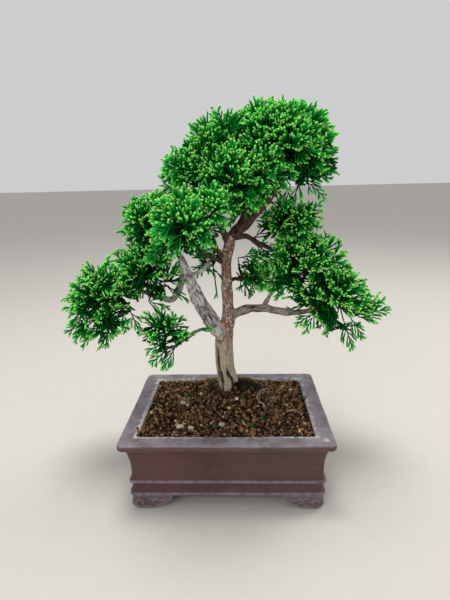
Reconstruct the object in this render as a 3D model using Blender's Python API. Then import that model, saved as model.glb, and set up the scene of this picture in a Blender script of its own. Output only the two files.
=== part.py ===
"""Juniper bonsai in a rectangular stoneware pot, one solid for each piece.

Metres, +Z up. The origin is on the standing surface, under the middle of the pot and of the
tree's spread. +X runs along the pot's long side, and the tree's front faces -Y.
"""

import math

import bmesh
import bpy
from mathutils import Vector, noise

MM = 0.001
GAP = 0.3 * MM              # clearance between pieces that touch
CORNER_GROWTH = 1.15        # a faceted skin's corners move this much more than its faces

# Pot
POT_LENGTH = 201.5 * MM     # along X, over the lip
POT_DEPTH = 157.5 * MM      # along Y, over the lip
POT_HEIGHT = 72.5 * MM      # standing surface to rim
LIP_WIDTH = 17.0 * MM       # flat top of the rim, from its outer edge to the opening
LIP_THICKNESS = 6.5 * MM
LIP_ROUNDING = 1.2 * MM
COVE_TOP_INSET = 4.2 * MM   # wall under the lip, inwards from the lip's outer edge
WALL_INSET = 9.5 * MM       # wall at the foot of its concave sweep
COVE_POWER = 2.6
BEAD_INSET = 7.2 * MM
BEAD_BULGE = 2.2 * MM
BEAD_HEIGHT = 4.0 * MM
LOWER_BEAD_RISE = 2.4 * MM  # underside to the middle of the lower bead
BEAD_SPACING = 13.1 * MM    # lower bead to upper bead
COVE_RISE = 7.7 * MM        # upper bead to where the concave sweep begins
CORNER_RADIUS = 5.0 * MM
OPENING_CORNER = 4.0 * MM
FLOOR_THICKNESS = 6.0 * MM
DRAIN_SPACING = 84.0 * MM
DRAIN_RADIUS = 7.0 * MM

# Feet
FOOT_HEIGHT = 13.8 * MM
FOOT_END_INSET = 10.5 * MM  # foot's outer face at the pot's ends, inwards from the lip's outer edge
FOOT_FACE_INSET = 8.0 * MM  # foot's outer face at the pot's front and back
FOOT_LENGTH = 38.5 * MM     # the wing along the front or back
FOOT_SIDE_LENGTH = 30.0 * MM
FOOT_THICKNESS = 11.0 * MM
FOOT_ROOT = 2.0 * MM        # how far a foot runs up into the body
FOOT_ROUNDING = 1.1 * MM
FOOT_STEP = 0.5 * MM        # a short wing's faces, set in from the long wing's

# Drainage screens and the wires that hold them
SCREEN_HOLE = 2.6 * MM
SCREEN_BAR = 1.2 * MM
SCREEN_HOLES = 5            # along each side
SCREEN_THICKNESS = 0.9 * MM
WIRE_RADIUS = 0.5 * MM
WIRE_TAIL = 8.0 * MM        # how far each bent end runs out under the floor

# Soil and what lies on it
SOIL_DROP = 3.0 * MM        # soil below the rim, away from the trunk
MOUND_HEIGHT = 10.5 * MM    # rise of the soil towards the trunk
MOUND_RADIUS = 33.0 * MM
SOIL_ROUGHNESS = 0.7 * MM
SOIL_SIDE_POINTS = 11       # points of the soil's surface along each side, between corners
PEBBLE_SINK = 0.35          # share of a pebble's height below the soil
MOSS_THICKNESS = 2.4 * MM
LEAF_LENGTH = 11.0 * MM
LEAF_WIDTH = 5.0 * MM
LEAF_THICKNESS = 0.5 * MM
LEAF_CUP = 0.9 * MM         # rise of its edges above its midrib
LEAF_CURL = 1.6 * MM        # rise of its tip
LEAF_PLACE = (0.80, -0.24)  # shares of the opening's half length and half depth
ROOTLET_RADIUS = 0.45 * MM

# Tree
TREE_SPREAD = 345.0 * MM    # along X, tip to tip
TREE_DEPTH = 184.0 * MM     # along Y
TREE_HEIGHT = 307.5 * MM    # rim to apex
TRUNK_RADIUS = 10.0 * MM
LIMB_RADIUS = 8.0 * MM      # where the left limb leaves the trunk
LEADER_RADIUS = 5.4 * MM    # where the crown branch leaves the trunk
LOW_LIMB_RADIUS = 4.8 * MM  # where the right low limb leaves the trunk
TWIG_RADIUS = 2.1 * MM
ROOT_RADIUS = 4.5 * MM
DESIGN = (345.0, 184.0, 307.5)  # spread, depth and height that the tree's points are given in

# Worked out from the sizes above
OPENING_X = POT_LENGTH / 2 - LIP_WIDTH
OPENING_Y = POT_DEPTH / 2 - LIP_WIDTH
FLOOR_Z = FOOT_HEIGHT + FLOOR_THICKNESS
LIP_FOOT_Z = POT_HEIGHT - LIP_THICKNESS
LOWER_BEAD_Z = FOOT_HEIGHT + LOWER_BEAD_RISE
UPPER_BEAD_Z = LOWER_BEAD_Z + BEAD_SPACING
COVE_FOOT_Z = UPPER_BEAD_Z + COVE_RISE
SCREEN_PITCH = SCREEN_HOLE + SCREEN_BAR
SCREEN_SIDE = SCREEN_HOLES * SCREEN_PITCH + SCREEN_BAR


def tree_point(x, y, z):
    """A place in the tree, from its design coordinates: z is 0 at the pot's rim."""
    return Vector((
        x * TREE_SPREAD / DESIGN[0],
        y * TREE_DEPTH / DESIGN[1],
        POT_HEIGHT + z * TREE_HEIGHT / DESIGN[2],
    ))


TRUNK_FOOT = tree_point(0, 33, 0)


def soil_height(x, y):
    """The soil's surface: level near the rim, heaped up to the trunk, a little uneven."""
    away = math.hypot(x - TRUNK_FOOT.x, y - TRUNK_FOOT.y) / MOUND_RADIUS
    uneven = SOIL_ROUGHNESS * noise.noise(Vector((x, y, 0)) / (9 * MM))
    return POT_HEIGHT - SOIL_DROP + MOUND_HEIGHT * math.exp(-away * away) + uneven


# Making and joining solids

def material(name, colour, roughness, metallic=0.0):
    made = bpy.data.materials.new(name)
    made.use_nodes = True
    shader = made.node_tree.nodes["Principled BSDF"]
    shader.inputs["Base Color"].default_value = (*colour, 1.0)
    shader.inputs["Roughness"].default_value = roughness
    shader.inputs["Metallic"].default_value = metallic
    return made


def add_object(name, mesh, look=None):
    made = bpy.data.objects.new(name, mesh)
    bpy.context.collection.objects.link(made)
    if look:
        mesh.materials.append(look)
    return made


def finish_mesh(shape, name, smooth_below=40, uneven=False):
    """Turns a bmesh into a mesh whose faces point out, smooth except at its sharp edges.
    The faces of an uneven one are not flat, so they are split into triangles."""
    if uneven:
        bmesh.ops.triangulate(shape, faces=shape.faces)
    bmesh.ops.recalc_face_normals(shape, faces=shape.faces)
    mesh = bpy.data.meshes.new(name)
    shape.to_mesh(mesh)
    shape.free()
    mesh.shade_smooth()
    mesh.set_sharp_from_angle(angle=math.radians(smooth_below))
    return mesh


def evaluated_mesh(source):
    graph = bpy.context.evaluated_depsgraph_get()
    return bpy.data.meshes.new_from_object(source.evaluated_get(graph))


def hide_helper(helper):
    helper.hide_render = True
    helper.display_type = "WIRE"
    return helper


def grown_copy(source, by=GAP):
    """A hidden copy of a piece, larger all round, which cuts the piece's place in its neighbour."""
    shape = bmesh.new()
    shape.from_mesh(evaluated_mesh(source))
    bmesh.ops.transform(shape, matrix=source.matrix_world, verts=shape.verts)
    bmesh.ops.remove_doubles(shape, verts=shape.verts, dist=0.001 * MM)
    shape.normal_update()
    moves = [(vertex, vertex.normal * by * CORNER_GROWTH) for vertex in shape.verts]
    for vertex, move in moves:
        vertex.co += move
    return hide_helper(add_object(source.name + "_clearance", finish_mesh(shape, source.name)))


def combine(target, others, operation="DIFFERENCE"):
    for other in others:
        modifier = target.modifiers.new(operation.title() + "_" + other.name, "BOOLEAN")
        modifier.operation = operation
        modifier.solver = "EXACT"
        modifier.object = other
    bpy.context.view_layer.update()


def touching(first, second):
    """Whether two objects' boxes meet, within a gap."""
    boxes = []
    for piece in (first, second):
        corners = [piece.matrix_world @ Vector(corner) for corner in piece.bound_box]
        boxes.append([(min(values), max(values)) for values in zip(*corners)])
    return all(a[0] < b[1] + GAP and b[0] < a[1] + GAP for a, b in zip(*boxes))


def cut_for(target, clearances):
    combine(target, [other for other in clearances if touching(target, other)])


# Pot

def rounded_loop(half_x, half_y, radius, height, along_side=0):
    """Points of a rectangle with round corners, counter-clockwise, along_side of them between
    corners. height is a number or f(x, y)."""
    steps = 5
    places = []
    for corner, (sx, sy) in enumerate(((1, -1), (1, 1), (-1, 1), (-1, -1))):
        centre_x = sx * (half_x - radius)
        centre_y = sy * (half_y - radius)
        for step in range(steps + 1):
            angle = math.radians(-90 + 90 * corner + 90 * step / steps)
            places.append((centre_x + radius * math.cos(angle), centre_y + radius * math.sin(angle)))
    points = []
    for i, (x, y) in enumerate(places):
        points.append((x, y))
        if i % (steps + 1) == steps:
            next_x, next_y = places[(i + 1) % len(places)]
            for k in range(1, along_side + 1):
                share = k / (along_side + 1)
                points.append((x + (next_x - x) * share, y + (next_y - y) * share))
    return [(x, y, height(x, y) if callable(height) else height) for x, y in points]


def bridge(shape, loops):
    """Joins loops of equal length into a skin, with a face over each end."""
    rows = [[shape.verts.new(point) for point in loop] for loop in loops]
    for low, high in zip(rows, rows[1:]):
        for i in range(len(low)):
            after = (i + 1) % len(low)
            shape.faces.new((low[i], low[after], high[after], high[i]))
    shape.faces.new(reversed(rows[0]))
    shape.faces.new(rows[-1])


def bead(middle):
    """(inset, z) down the half-round bead, from its lower edge to its upper."""
    points = []
    for degrees in (-90, -45, 0, 45, 90):
        angle = math.radians(degrees)
        inset = BEAD_INSET + BEAD_BULGE * (1 - math.cos(angle))
        points.append((inset, middle + BEAD_HEIGHT / 2 * math.sin(angle)))
    return points


def cove():
    """(inset, z) up the concave wall, from above the upper bead to under the lip."""
    steps = 6
    points = []
    for step in range(steps + 1):
        share = step / steps
        inset = WALL_INSET - (WALL_INSET - COVE_TOP_INSET) * share ** COVE_POWER
        points.append((inset, COVE_FOOT_Z + (LIP_FOOT_Z - COVE_FOOT_Z) * share))
    return points


def pot_profile():
    """(inset, z) from the underside's edge up the outside and over the rim to the opening."""
    return (
        [(BEAD_INSET + BEAD_BULGE, FOOT_HEIGHT)]
        + bead(LOWER_BEAD_Z)
        + bead(UPPER_BEAD_Z)
        + cove()
        + [
            (LIP_ROUNDING / 2, LIP_FOOT_Z),
            (0.0, LIP_FOOT_Z + LIP_ROUNDING),
            (LIP_ROUNDING / 4, POT_HEIGHT - LIP_ROUNDING),
            (LIP_ROUNDING, POT_HEIGHT - LIP_ROUNDING / 3),
            (2 * LIP_ROUNDING, POT_HEIGHT),
            (LIP_WIDTH - LIP_ROUNDING, POT_HEIGHT),
        ]
    )


def foot_outline(length):
    """(along, z) of a scroll foot: deep at the corner, then two cloud lobes up to nothing."""
    top = FOOT_HEIGHT + FOOT_ROOT
    radius = 0.34 * FOOT_HEIGHT
    outline = [(0.0, top), (0.0, radius)]
    for degrees in (200, 225, 250, 270):
        angle = math.radians(degrees)
        outline.append((radius * (1 + math.cos(angle)), radius * (1 + math.sin(angle))))
    outline += [
        (0.40 * length, 0.0),
        (0.52 * length, 0.07 * FOOT_HEIGHT),
        (0.60 * length, 0.20 * FOOT_HEIGHT),
        (0.72 * length, 0.24 * FOOT_HEIGHT),
        (0.82 * length, 0.42 * FOOT_HEIGHT),
        (0.93 * length, 0.56 * FOOT_HEIGHT),
        (length, 0.86 * FOOT_HEIGHT),
        (length, top),
    ]
    return outline


def foot_wing(name, length, start, along, inwards):
    """One wing of a foot, from the corner point start, running along and as thick as inwards."""
    shape = bmesh.new()
    outer = []
    for distance, height in foot_outline(length):
        point = start + along * distance
        outer.append(shape.verts.new((point.x, point.y, height)))
    face = shape.faces.new(outer)
    made = bmesh.ops.extrude_face_region(shape, geom=[face])
    moved = [item for item in made["geom"] if isinstance(item, bmesh.types.BMVert)]
    bmesh.ops.translate(shape, verts=moved, vec=inwards * FOOT_THICKNESS)
    rim = [edge for edge in face.edges if max(v.co.z for v in edge.verts) < FOOT_HEIGHT * 1.2]
    bmesh.ops.bevel(shape, geom=rim, offset=FOOT_ROUNDING, segments=2, affect="EDGES")
    return hide_helper(add_object(name, finish_mesh(shape, name)))


def foot_wings():
    wings = []
    for sx in (-1, 1):
        for sy in (-1, 1):
            corner = Vector((
                sx * (POT_LENGTH / 2 - FOOT_END_INSET),
                sy * (POT_DEPTH / 2 - FOOT_FACE_INSET),
                0,
            ))
            inwards_x = Vector((-sx, 0, 0))
            inwards_y = Vector((0, -sy, 0))
            wings.append(foot_wing("foot_wing_long", FOOT_LENGTH, corner, inwards_x, inwards_y))
            beside = corner + (inwards_x + inwards_y) * FOOT_STEP
            wings.append(foot_wing("foot_wing_short", FOOT_SIDE_LENGTH, beside, inwards_y, inwards_x))
    return wings


def drain_cutter(x):
    """A round cutter that runs past both faces of the pot's floor."""
    sides = 20
    shape = bmesh.new()
    loops = []
    for z in (FOOT_HEIGHT - FLOOR_THICKNESS, FLOOR_Z + FLOOR_THICKNESS):
        angles = [2 * math.pi * i / sides for i in range(sides)]
        loops.append([(x + DRAIN_RADIUS * math.cos(a), DRAIN_RADIUS * math.sin(a), z) for a in angles])
    bridge(shape, loops)
    return hide_helper(add_object("drain_hole", finish_mesh(shape, "drain_hole")))


def make_pot(look):
    shape = bmesh.new()
    loops = []
    for inset, z in pot_profile():
        loops.append(rounded_loop(POT_LENGTH / 2 - inset, POT_DEPTH / 2 - inset, CORNER_RADIUS, z))
    for z in (POT_HEIGHT - LIP_ROUNDING, FLOOR_Z):
        loops.append(rounded_loop(OPENING_X, OPENING_Y, OPENING_CORNER, z))
    bridge(shape, loops)
    pot = add_object("pot", finish_mesh(shape, "pot"), look)
    combine(pot, foot_wings(), "UNION")
    combine(pot, [drain_cutter(side * DRAIN_SPACING / 2) for side in (-1, 1)])
    return pot


# Drainage screens and their wires

def screen_lines():
    """Places along one side of the screen where a bar or a hole begins."""
    lines = [-SCREEN_SIDE / 2]
    for i in range(2 * SCREEN_HOLES + 1):
        lines.append(lines[-1] + (SCREEN_HOLE if i % 2 else SCREEN_BAR))
    return lines


def make_screen(name, x, look):
    lines = screen_lines()
    low = FLOOR_Z + GAP
    shape = bmesh.new()
    grid = [[shape.verts.new((x + a, b, low)) for b in lines] for a in lines]
    for i in range(len(lines) - 1):
        for j in range(len(lines) - 1):
            if i % 2 and j % 2:
                continue
            shape.faces.new((grid[i][j], grid[i + 1][j], grid[i + 1][j + 1], grid[i][j + 1]))
    made = bmesh.ops.extrude_face_region(shape, geom=list(shape.faces))
    moved = [item for item in made["geom"] if isinstance(item, bmesh.types.BMVert)]
    bmesh.ops.translate(shape, verts=moved, vec=(0, 0, SCREEN_THICKNESS))
    return add_object(name, finish_mesh(shape, name), look)


def make_wire(name, x, look):
    """A staple over the screen: down through two of its holes and bent out under the floor."""
    leg = SCREEN_PITCH
    over = FLOOR_Z + 2 * GAP + SCREEN_THICKNESS + WIRE_RADIUS
    under = FOOT_HEIGHT - GAP - WIRE_RADIUS
    turn = 2 * WIRE_RADIUS
    half = [
        (leg - turn, over),
        (leg, over - turn),
        (leg, under + turn),
        (leg + turn, under),
        (leg + WIRE_TAIL, under),
    ]
    points = [Vector((x - a, 0, z)) for a, z in reversed(half)]
    points += [Vector((x + a, 0, z)) for a, z in half]
    mesh = tube_mesh(name, points, [WIRE_RADIUS] * len(points), smooth=False)
    return add_object(name, mesh, look)


# Stems

def tube_mesh(name, points, radii, smooth=True, steps=2):
    """A round rod through points, thick as radii says, with closed ends."""
    curve = bpy.data.curves.new(name, "CURVE")
    curve.dimensions = "3D"
    curve.bevel_depth = 1.0
    curve.bevel_resolution = 2
    curve.use_fill_caps = True
    curve.resolution_u = steps
    spline = curve.splines.new("BEZIER" if smooth else "POLY")
    if smooth:
        spline.bezier_points.add(len(points) - 1)
        for knot, point, radius in zip(spline.bezier_points, points, radii):
            knot.co = point
            knot.radius = radius
            knot.handle_left_type = "AUTO"
            knot.handle_right_type = "AUTO"
    else:
        spline.points.add(len(points) - 1)
        for knot, point, radius in zip(spline.points, points, radii):
            knot.co = (*point, 1.0)
            knot.radius = radius
    guide = bpy.data.objects.new(name, curve)
    bpy.context.collection.objects.link(guide)
    bpy.context.view_layer.update()
    shape = bmesh.new()
    shape.from_mesh(evaluated_mesh(guide))
    bpy.data.objects.remove(guide)
    bmesh.ops.remove_doubles(shape, verts=shape.verts, dist=0.001 * MM)
    return finish_mesh(shape, name, smooth_below=70)


def stem_mesh(name, radius, route):
    """A stem along route, whose rows are x, y, z in the tree and the share of its radius there."""
    points = [tree_point(x, y, z) for x, y, z, share in route]
    return tube_mesh(name, points, [radius * share for x, y, z, share in route])


ROOT_START = (0, 34, -5)
# Heading in degrees from +X, reach and drop in mm of each main root
ROOTS = ((250, 26, 16), (200, 42, 24), (320, 40, 22), (20, 46, 26), (120, 18, 28))


def make_trunk(look):
    """The trunk up to its last fork, with the main roots that hold it in the soil."""
    trunk = add_object("trunk", stem_mesh("trunk", TRUNK_RADIUS, (
        (0, 34, -16, 1.15),
        (0, 34, 2, 1.2),
        (-1, 33, 14, 1.1),
        (-4, 32, 30, 1.0),
        (-4, 32, 50, 0.98),
        (-3, 31, 66, 0.96),
        (0, 30, 78, 0.78),
        (2, 29, 91, 0.68),
        (2, 28, 105, 0.60),
        (1, 27, 120, 0.57),
        (1, 26, 136, 0.56),
        (1, 26, 153, 0.56),
        (4, 25, 166, 0.58),
        (6, 24, 175, 0.56),
        (8, 24, 180, 0.42),
    )), look)
    roots = []
    for turn, reach, drop in ROOTS:
        heading = Vector((math.cos(math.radians(turn)), math.sin(math.radians(turn)), 0))
        start = tree_point(*ROOT_START)
        points = []
        for share in (0.0, 0.35, 0.7, 1.0):
            fall = Vector((0, 0, -drop * MM * share ** 1.4))
            points.append(start + heading * reach * MM * share + fall)
        radii = [ROOT_RADIUS * size for size in (1.2, 1.0, 0.7, 0.35)]
        mesh = tube_mesh("root", points, radii)
        roots.append(hide_helper(add_object("root", mesh)))
    combine(trunk, roots, "UNION")
    return trunk


# Name, radius at the fork, and route from inside the stem that it grows from
STEMS = (
    ("crown_branch", LEADER_RADIUS, (
        (6, 24, 175, 0.9), (12, 23, 182, 1.0), (20, 21, 188, 1.0), (28, 20, 197, 0.95),
        (36, 18, 205, 0.92), (48, 16, 220, 0.8), (59, 12, 234, 0.62), (66, 13, 243, 0.45),
        (74, 16, 252, 0.3),
    )),
    ("left_limb", LIMB_RADIUS, (
        (-1, 31, 66, 0.8), (-10, 28, 74, 1.0), (-17, 24, 87, 1.03), (-24, 22, 99, 1.03),
        (-29, 20, 112, 0.95), (-34, 18, 124, 0.88), (-38, 17, 134, 0.7), (-41, 15, 147, 0.52),
        (-45, 15, 158, 0.42), (-52, 18, 170, 0.3), (-62, 23, 180, 0.22),
    )),
    ("right_low_limb", LOW_LIMB_RADIUS, (
        (2, 29, 86, 0.9), (11, 27, 94, 1.0), (19, 25, 98, 0.98), (28, 23, 100, 0.9),
        (38, 21, 101, 0.88), (48, 19, 100, 0.82), (58, 17, 98, 0.74), (70, 15, 97, 0.62),
        (84, 14, 99, 0.5), (98, 18, 106, 0.4), (112, 22, 112, 0.3),
    )),
    ("left_crown_branch", TWIG_RADIUS, (
        (4, 25, 168, 1.6), (1, 22, 176, 1.6), (-2, 18, 184, 1.5), (-5, 12, 192, 1.3),
        (-8, 8, 202, 1.2), (-12, 11, 216, 1.0), (-16, 16, 232, 0.8),
    )),
    ("crown_front_twig", TWIG_RADIUS, (
        (22, 21, 190, 1.2), (21, 12, 198, 1.1), (18, 2, 208, 1.0), (14, -8, 218, 0.7),
    )),
    ("rear_crown_branch", TWIG_RADIUS, (
        (5, 25, 172, 1.4), (9, 38, 178, 1.4), (17, 51, 190, 1.2), (25, 64, 206, 0.9),
    )),
    ("right_upper_branch", TWIG_RADIUS, (
        (7, 24, 174, 1.1), (20, 27, 176, 1.3), (27, 30, 173, 1.2), (34, 33, 168, 1.2),
        (42, 36, 164, 1.0), (51, 40, 160, 1.0), (62, 44, 159, 0.9), (74, 45, 166, 0.8),
        (80, 44, 180, 0.6),
    )),
    ("front_twig_upper", TWIG_RADIUS, (
        (1, 26, 154, 1.2), (-7, 18, 161, 1.2), (-12, 8, 169, 1.0), (-17, -4, 179, 0.9),
        (-19, -18, 188, 0.8), (-22, -34, 196, 0.6),
    )),
    ("front_twig_lower", TWIG_RADIUS, (
        (0, 26, 148, 1.1), (-11, 18, 155, 1.1), (-18, 8, 161, 1.0), (-25, -4, 168, 0.9),
        (-33, -22, 176, 0.7), (-38, -36, 184, 0.5),
    )),
    ("rear_twig", TWIG_RADIUS, (
        (1, 27, 126, 1.1), (8, 42, 128, 1.0), (18, 58, 125, 0.8), (30, 72, 124, 0.6),
    )),
    ("left_rear_limb", TWIG_RADIUS, (
        (-39, 17, 138, 1.5), (-44, 29, 136, 1.75), (-49, 38, 125, 1.8), (-55, 43, 112, 1.75),
        (-62, 42, 106, 1.6), (-76, 34, 112, 1.3), (-92, 24, 120, 1.0), (-116, 15, 118, 0.7),
    )),
    ("left_side_twig", TWIG_RADIUS, (
        (-37, 17, 137, 1.0), (-29, 19, 140, 1.0), (-23, 22, 143, 1.0), (-18, 28, 148, 0.8),
        (-14, 37, 152, 0.6),
    )),
    ("low_left_twig", TWIG_RADIUS, (
        (-12, 28, 74, 0.9), (-19, 25, 76, 0.9), (-27, 20, 78, 0.8), (-41, 12, 74, 0.8),
        (-49, 6, 68, 0.75), (-58, 1, 65, 0.65), (-70, -3, 69, 0.45),
    )),
    ("right_rising_twig", TWIG_RADIUS, (
        (38, 21, 101, 0.95), (43, 21, 109, 1.0), (46, 21, 115, 0.95), (48, 22, 121, 0.9),
        (50, 25, 131, 0.8), (58, 29, 143, 0.5),
    )),
)


def make_stems(look, trunk):
    """Every stem, cut back where it meets the trunk or a stem made before it."""
    stems = [trunk]
    clearances = [grown_copy(trunk)]
    for name, radius, route in STEMS:
        stem = add_object(name, stem_mesh(name, radius, route), look)
        cut_for(stem, clearances)
        stems.append(stem)
        clearances.append(grown_copy(stem))
    return clearances


# Foliage

# Name, and lobes of the pad's outline as centre and half sizes in the tree's design units.
# The first lobe's centre is the pad's middle.
PADS = (
    ("foliage_crown_top", ((50, 18, 267, 46, 46, 41), (16, 18, 264, 30, 42, 34),
                           (74, 20, 274, 22, 34, 27))),
    ("foliage_crown_left", ((-8, 18, 244, 33, 44, 40), (-32, 20, 240, 24, 36, 24),
                            (-40, 22, 226, 17, 32, 18))),
    ("foliage_crown_front", ((14, -8, 220, 28, 26, 25),)),
    ("foliage_crown_right", ((84, 22, 252, 27, 38, 31), (88, 24, 230, 20, 28, 18))),
    ("foliage_crown_rear", ((14, 66, 230, 42, 26, 38),)),
    ("foliage_front", ((-24, -50, 194, 32, 42, 28), (-6, -42, 203, 20, 30, 22),
                       (-46, -40, 180, 15, 26, 19))),
    ("foliage_left_middle", ((-74, 26, 190, 28, 36, 34), (-52, 24, 186, 18, 30, 28))),
    ("foliage_left_inner", ((-84, 24, 136, 34, 36, 32), (-60, 22, 128, 18, 28, 24))),
    ("foliage_left_outer", ((-130, 14, 112, 34, 32, 36), (-124, 16, 134, 28, 28, 28),
                            (-150, 14, 88, 22.5, 22, 20), (-122, 12, 86, 22, 22, 24))),
    ("foliage_low_left", ((-62, 0, 86, 23, 22, 20), (-74, -4, 64, 12, 16, 24),
                          (-46, 3, 94, 16, 18, 22))),
    ("foliage_right_upper", ((70, 42, 186, 30, 30, 24), (84, 42, 196, 17, 22, 18))),
    ("foliage_right_inner", ((82, 34, 140, 44, 42, 38),)),
    ("foliage_right_outer", ((108, 24, 110, 40, 38, 36), (142, 30, 97, 30.5, 24, 15),
                             (128, 20, 80, 20, 22, 27))),
    ("foliage_rear_low", ((34, 74, 124, 21, 18, 20),)),
    ("foliage_inner_left", ((-12, 42, 154, 16, 15, 15),)),
)
PAD_UNEVENNESS = 0.07       # share of a pad's radius
PAD_GRAIN = 16 * MM         # size of its bumps
PAD_DETAIL = 0.30           # share of the faces that its decimation keeps


def exit_distance(origin, direction, lobe):
    """How far a ray from origin runs before it leaves a lobe, or 0 where it misses it."""
    middle = tree_point(*lobe[:3])
    size = tree_point(*lobe[3:]) - tree_point(0, 0, 0)
    start = Vector([(o - m) / s for o, m, s in zip(origin, middle, size)])
    step = Vector([d / s for d, s in zip(direction, size)])
    a = step.dot(step)
    b = start.dot(step)
    under_root = b * b - a * (start.dot(start) - 1)
    return max(0.0, (-b + math.sqrt(under_root)) / a) if under_root > 0 else 0.0


def make_pad(name, lobes, look):
    """The closed outline of one pad of foliage: the farthest lobe in each direction."""
    middle = tree_point(*lobes[0][:3])
    shape = bmesh.new()
    bmesh.ops.create_icosphere(shape, subdivisions=3, radius=1)
    for vertex in shape.verts:
        direction = vertex.co.normalized()
        reach = max(exit_distance(middle, direction, lobe) for lobe in lobes)
        bump = noise.noise((middle + direction * reach) / PAD_GRAIN)
        vertex.co = direction * reach * (1 + PAD_UNEVENNESS * min(0.0, bump))
    pad = add_object(name, finish_mesh(shape, name), look)
    pad.location = middle
    thin = pad.modifiers.new("Thin", "DECIMATE")
    thin.ratio = PAD_DETAIL
    bpy.context.view_layer.update()
    return pad


def make_foliage(look, stem_clearances):
    """Every pad, clear of the stems and of the pads made before it."""
    clearances = list(stem_clearances)
    for name, lobes in PADS:
        pad = make_pad(name, lobes, look)
        before_cuts = grown_copy(pad)
        cut_for(pad, clearances)
        clearances.append(before_cuts)


# Soil and what lies on it

def make_soil(look):
    """The bed of granules, from the pot's floor to the mounded surface."""
    half_x = OPENING_X - GAP
    half_y = OPENING_Y - GAP
    corner = OPENING_CORNER - GAP
    shape = bmesh.new()
    loops = [rounded_loop(half_x, half_y, corner, FLOOR_Z + GAP, SOIL_SIDE_POINTS)]
    for share in (1.0, 0.93, 0.82, 0.72, 0.62, 0.53, 0.44, 0.34, 0.22, 0.08):
        size = (half_x * share, half_y * share, corner * share)
        loops.append(rounded_loop(*size, soil_height, SOIL_SIDE_POINTS))
    bridge(shape, loops)
    return add_object("soil", finish_mesh(shape, "soil", uneven=True), look)


def make_pebble(name, x, y, size, look):
    """A worn pebble, part sunk in the soil."""
    long, wide, tall = (value * MM for value in size)
    shape = bmesh.new()
    bmesh.ops.create_icosphere(shape, subdivisions=2, radius=0.5)
    for vertex in shape.verts:
        lump = 1 + 0.12 * noise.noise(vertex.co * 3 + Vector((x, y, 0)) / (10 * MM))
        vertex.co = Vector((vertex.co.x * long, vertex.co.y * wide, vertex.co.z * tall)) * lump
    pebble = add_object(name, finish_mesh(shape, name), look)
    pebble.location = (x, y, soil_height(x, y) + tall * (0.5 - PEBBLE_SINK))
    return pebble


# Name, place as shares of the opening's half length and half depth, and length, width, height in mm
PEBBLES = (
    ("pebble_pale_large", -0.55, -0.66, (8.0, 7.0, 5.0)),
    ("pebble_pale_rear", -0.58, 0.12, (7.0, 6.0, 4.5)),
    ("pebble_grey", -0.06, -0.61, (7.0, 6.0, 4.5)),
    ("pebble_buff", -0.42, -0.69, (6.0, 5.0, 4.0)),
    ("pebble_white", 0.115, 0.12, (4.0, 4.0, 3.5)),
    ("pebble_orange", 0.02, -0.12, (5.0, 4.5, 3.5)),
    ("pebble_dark", -0.14, -0.67, (6.5, 5.0, 4.0)),
)


def make_moss(name, x, y, radius, look):
    """A low cushion of moss that follows the soil."""
    shape = bmesh.new()
    sides = 14
    loops = []
    for share, level in ((0.9, -0.3), (1.0, 0.1), (0.85, 0.6), (0.5, 0.95), (0.15, 1.0)):
        loop = []
        for i in range(sides):
            angle = 2 * math.pi * i / sides
            reach = radius * share * (1 + 0.18 * math.sin(3 * angle + x / MM))
            px = x + reach * math.cos(angle)
            py = y + 0.7 * reach * math.sin(angle)
            loop.append((px, py, soil_height(px, py) + MOSS_THICKNESS * level))
        loops.append(loop)
    bridge(shape, loops)
    return add_object(name, finish_mesh(shape, name, uneven=True), look)


def make_leaf(look):
    """A dry, cupped leaf that lies on the soil, its tip curled up."""
    x = LEAF_PLACE[0] * OPENING_X
    y = LEAF_PLACE[1] * OPENING_Y
    ground = soil_height(x, y) + GAP
    steps = 6
    shape = bmesh.new()
    rows = []
    for i in range(steps + 1):
        share = i / steps
        half = max(0.12, math.sin(math.pi * share ** 0.8)) * LEAF_WIDTH / 2
        row = []
        for side in (-1, 0, 1):
            lift = LEAF_CUP * abs(side) + LEAF_CURL * share * share
            along = x + (share - 0.5) * LEAF_LENGTH
            row.append(shape.verts.new((along, y + side * half, ground + lift)))
        rows.append(row)
    for near, far in zip(rows, rows[1:]):
        for j in range(2):
            shape.faces.new((near[j], far[j], far[j + 1], near[j + 1]))
    made = bmesh.ops.extrude_face_region(shape, geom=list(shape.faces))
    moved = [item for item in made["geom"] if isinstance(item, bmesh.types.BMVert)]
    bmesh.ops.translate(shape, verts=moved, vec=(0, 0, LEAF_THICKNESS))
    return add_object("dry_leaf", finish_mesh(shape, "dry_leaf"), look)


def make_rootlet(look):
    """A pale rootlet that rises from the soil, loops over and dips back into it."""
    points = []
    for x, y, lift in ((46, 32, -1.5), (45, 31, 3), (41, 28, 5), (35, 21, 4.5), (32, 12, 2.2),
                       (34, 5, 2.0), (38, 0, 2.2), (39, -6, 1.0), (39, -8, -1.5)):
        place = Vector((x * MM, y * MM, 0))
        points.append(Vector((place.x, place.y, soil_height(place.x, place.y) + lift * MM)))
    mesh = tube_mesh("surface_rootlet", points, [ROOTLET_RADIUS] * len(points))
    return add_object("surface_rootlet", mesh, look)


# The whole

def clear_scene():
    for leftover in list(bpy.data.objects):
        bpy.data.objects.remove(leftover)


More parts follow.
